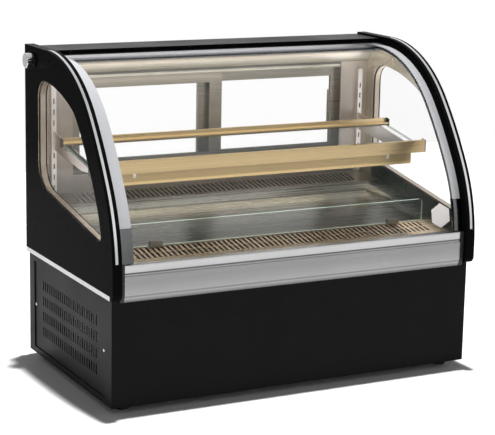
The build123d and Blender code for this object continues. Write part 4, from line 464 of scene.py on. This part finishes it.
# Finish of each CAD node
FINISHES = {
    "rubber_feet": moulded("rubber", (0.012, 0.012, 0.012), roughness=0.7),
    (
        "knob_washers bumper_end_caps rail_end_caps control_box switch_bodies power_inlet"
        " power_switch_rocker light_switch_rocker thermostat_knob"
        " condenser_fan_blade evaporator_fan_blade"
    ): moulded("black_plastic", (0.012, 0.012, 0.0125), roughness=0.42),
    "hex_label": moulded("label", (1.0, 0.92, 0.86), roughness=0.55, grain=400.0),
    "base_side_frames side_vent_covers base_rear_panel": painted(
        "black_sheet", (0.0085, 0.009, 0.009), roughness=0.4, specular=0.055, grain=700.0, depth=0.16
    ),
    "front_panel": painted(
        "black_front", (0.0092, 0.0098, 0.0095), roughness=0.26, specular=0.035, grain=420.0, depth=0.06
    ),
    "top_cap": painted(
        "black_cap", (0.005, 0.0054, 0.0052), roughness=0.26, specular=0.013, grain=420.0, depth=0.06
    ),
    "compressor": painted(
        "compressor_black", (0.012, 0.012, 0.012), roughness=0.25, specular=0.5, grain=300.0, depth=0.08
    ),
    "side_panel_left side_panel_right": panel_paint("panel_black"),
    "base_pan": brushed(
        "galvanised", (0.42, 0.43, 0.44), roughness=0.42, along="X", contrast=0.25, depth=0.1,
        across=120.0,
    ),
    "side_vent_screws": brushed("screw_steel", (0.6, 0.6, 0.6), roughness=0.25, along="X"),
    "side_window_spacers": brushed(
        "spacer", (0.58, 0.5, 0.41), roughness=0.4, along="Y", contrast=0.08
    ),
    "rim_trims": brushed("bright_trim", (0.75, 0.75, 0.76), roughness=0.16, along="Y", contrast=0.1),
    "bottom_trims": brushed("low_trim", (0.5, 0.5, 0.51), roughness=0.3, along="Y", contrast=0.12),
    "side_knob_left side_knob_right": brushed(
        "chrome", (0.78, 0.79, 0.8), roughness=0.1, along="X", contrast=0.08
    ),
    "front_bumper": brushed(
        "bumper_aluminium", (0.9, 0.905, 0.92), roughness=0.3, along="X", contrast=0.05,
        painted_light=("Z", BUMPER_PAINTED_REFLECTIONS),
    ),
    "glass_top_rail": brushed(
        "top_rail", (0.72, 0.72, 0.75), roughness=0.25, along="X", contrast=0.06,
        painted_light=("Z", RAIL_PAINTED_SHADE),
    ),
    "glass_edge_bands": brushed(
        "edge_band", (0.6, 0.61, 0.63), roughness=0.34, along="Z", contrast=0.05, depth=0.01,
        metallic=0.3,
    ),
    "glass_lower_clamps": brushed(
        "dark_chrome", (0.16, 0.165, 0.17), roughness=0.14, along="Z", contrast=0.2
    ),
    "insulated_tub": brushed(
        "liner_steel", (0.36, 0.355, 0.345), roughness=0.34, along="X", contrast=0.05
    ),
    "rear_wall_frame": brushed(
        "wall_steel", (0.62, 0.55, 0.49), roughness=0.34, along="Z", contrast=0.12, across=400.0,
        painted_light=("Z", WALL_PAINTED_SHADE), metallic=0.6,
    ),
    "top_header": brushed(
        "header_steel", (0.88, 0.88, 0.88), roughness=0.22, along="X", contrast=0.12,
        painted_light=("Z", HEADER_PAINTED_LIGHT), metallic=0.3,
    ),
    "door_tracks": brushed(
        "track_aluminium", (0.84, 0.8, 0.69), roughness=0.25, along="X", contrast=0.08,
        painted_light=("Z", TRACK_PAINTED_SHADE), metallic=0.6,
    ),
    "left_door_frame right_door_frame": brushed(
        "door_aluminium", (0.6, 0.55, 0.47), roughness=0.3, along="X", contrast=0.06,
        painted_light=("Z", DOOR_PAINTED_SHADE), metallic=0.5,
    ),
    "shelf_pilasters": brushed(
        "pilaster_bright", (0.97, 0.92, 0.89), roughness=0.4, along="Z", contrast=0.04, depth=0.01
    ),
    "shelf_brackets": brushed(
        "bracket_steel", (0.82, 0.74, 0.69), roughness=0.34, along="Y", contrast=0.08
    ),
    "deck_tray": brushed(
        "polished_tray", (0.9, 0.85, 0.77), roughness=0.27, along="X", contrast=0.2, depth=0.0,
        painted_light=("Z", TRAY_PAINTED_REFLECTIONS),
    ),
    "front_grille": brushed(
        "front_grille_steel", (0.68, 0.53, 0.37), roughness=0.3, along="X", contrast=0.08,
        painted_light=("X", GRILLE_PAINTED_LIGHT),
    ),
    "rear_grille": brushed(
        "rear_grille_steel", (0.4, 0.365, 0.32), roughness=0.32, along="X", contrast=0.12
    ),
    "lamp_clips": brushed("bright_clip", (0.6, 0.57, 0.5), roughness=0.25, along="X", contrast=0.08),
    "deflector_clips": brushed(
        "dull_clip", (0.32, 0.28, 0.23), roughness=0.35, along="X", contrast=0.08
    ),
    "shelf_front_rail": brushed("champagne", (0.58, 0.44, 0.24), roughness=0.3, along="X"),
    "shelf_rear_rail": brushed("champagne_pale", (0.86, 0.68, 0.4), roughness=0.3, along="X"),
    "shelf_lamp_housing": lamp_metal("champagne_lamp"),
    # Champagne housing coloured nearly black as painted shade under the top rail
    "ceiling_lamp_housing": brushed(
        "champagne_painted_shade", (0.08, 0.065, 0.045), roughness=0.35, along="X", contrast=0.1
    ),
    "lamp_diffusers": lit("diffuser", (1.0, 0.93, 0.76), strength=7.0),
    "condenser_coil evaporator_coil fan_motors": brushed(
        "coil_metal", (0.6, 0.61, 0.62), roughness=0.35, along="Z", contrast=0.25
    ),
    "refrigerant_pipes": brushed(
        "copper", (0.62, 0.3, 0.18), roughness=0.28, along="X", contrast=0.2
    ),
    "front_glass": clear(
        "front_glass", (0.85, 0.93, 0.9), (0.35, 0.5, 0.44), flat_axis="Z", opacity=0.005, glare=0.5,
        edge_opacity=0.0,
    ),
    "side_window_panes": clear(
        "window_glass", (0.85, 0.8, 0.78), (0.72, 0.68, 0.6), flat_axis="X", opacity=0.008, glare=0.12
    ),
    "left_door_glass right_door_glass": clear(
        "door_glass", (0.9, 0.93, 0.92), (0.3, 0.4, 0.36), flat_axis="Y", opacity=0.005, glare=0.12
    ),
    "shelf_glass": clear(
        "shelf_glass", (0.85, 0.92, 0.9), (0.4, 0.55, 0.48), flat_axis="Z", opacity=0.02, glare=0.12,
        edge_opacity=0.6,
    ),
    "deflector_glass": clear(
        "deflector_glass", (0.6, 0.78, 0.7), (0.5, 0.68, 0.56), flat_axis="Y", opacity=0.04, glare=0.3,
        edge_opacity=0.8,
    ),
}

for node_names, finish in FINISHES.items():
    for node_name in node_names.split():
        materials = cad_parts[node_name].data.materials
        materials.clear()
        materials.append(finish.material)


# Floor, light, background and camera
def add_to_scene(name, data):
    """New object in the scene for a mesh, light or camera."""
    thing = bpy.data.objects.new(name, data)
    bpy.context.scene.collection.objects.link(thing)
    return thing


def make_floor():
    mesh = bpy.data.meshes.new("floor")
    corners = [(x * FLOOR_HALF, y * FLOOR_HALF, 0.0) for x, y in ((-1, -1), (1, -1), (1, 1), (-1, 1))]
    mesh.from_pydata(corners, [], [(0, 1, 2, 3)])
    surface = Surface("floor_white")
    surface.put(Roughness=FLOOR_ROUGHNESS, Specular_IOR_Level=FLOOR_SPECULAR)
    surface.drive("Base Color", surface.mottle(surface.noise(FLOOR_CLOUD), FLOOR_COLOUR, FLOOR_TONES))
    mesh.materials.append(surface.material)
    add_to_scene("floor", mesh)


def make_key_light():
    """Far overhead light that brightens surfaces but isn't mirrored in the metal."""
    light = bpy.data.lights.new("key", "AREA")
    light.shape = "RECTANGLE"
    light.size = light.size_y = KEY_SIZE
    light.energy = KEY_POWER
    lamp = add_to_scene("key", light)
    lamp.location = KEY_PLACE
    lamp.rotation_euler = (Vector(KEY_TARGET) - Vector(KEY_PLACE)).to_track_quat("-Z", "Y").to_euler()
    lamp.visible_glossy = False


def make_world():
    world = bpy.data.worlds.new("studio")
    bpy.context.scene.world = world
    sky = NodeTree(world, "ShaderNodeOutputWorld")
    direction = sky.coords.outputs["Generated"]
    height = sky.profile(sky.part_of(direction, "Z"), STUDIO_BY_HEIGHT)
    side = sky.profile(sky.part_of(direction, "X"), STUDIO_BY_SIDE)
    studio = sky.add("ShaderNodeBackground")
    sky.join(sky.times(height, side), studio.inputs["Color"])
    ambient = sky.add("ShaderNodeBackground", Color=(*AMBIENT, 1.0))
    white = sky.add("ShaderNodeBackground", Color=(*WHITE, 1.0))
    rays = sky.add("ShaderNodeLightPath")
    seen = ambient.outputs["Background"]
    for ray, look in (("Is Glossy Ray", studio), ("Is Transmission Ray", studio), ("Is Camera Ray", white)):
        seen = sky.mix_shaders(rays.outputs[ray], seen, look.outputs["Background"])
    sky.join(seen, sky.output.inputs["Surface"])


def make_camera():
    cos_yaw, sin_yaw = math.cos(CAMERA_YAW), math.sin(CAMERA_YAW)
    cos_pitch, sin_pitch = math.cos(CAMERA_PITCH), math.sin(CAMERA_PITCH)
    forward = Vector((sin_yaw * cos_pitch, cos_yaw * cos_pitch, -sin_pitch))
    level = Vector((cos_yaw, -sin_yaw, 0.0))
    upright = level.cross(forward)
    right = math.cos(CAMERA_ROLL) * level + math.sin(CAMERA_ROLL) * upright
    up = math.cos(CAMERA_ROLL) * upright - math.sin(CAMERA_ROLL) * level
    data = bpy.data.cameras.new("camera")
    data.sensor_width = SENSOR_WIDTH
    data.lens = FOCAL_PIXELS * SENSOR_WIDTH / IMAGE_WIDTH
    camera = add_to_scene("camera", data)
    turn = Matrix((right, up, -forward)).transposed()
    camera.matrix_world = Matrix.Translation(CAMERA_PLACE) @ turn.to_4x4()
    bpy.context.scene.camera = camera


make_floor()
make_key_light()
make_world()
make_camera()
bpy.context.scene.view_settings.view_transform = "Standard"
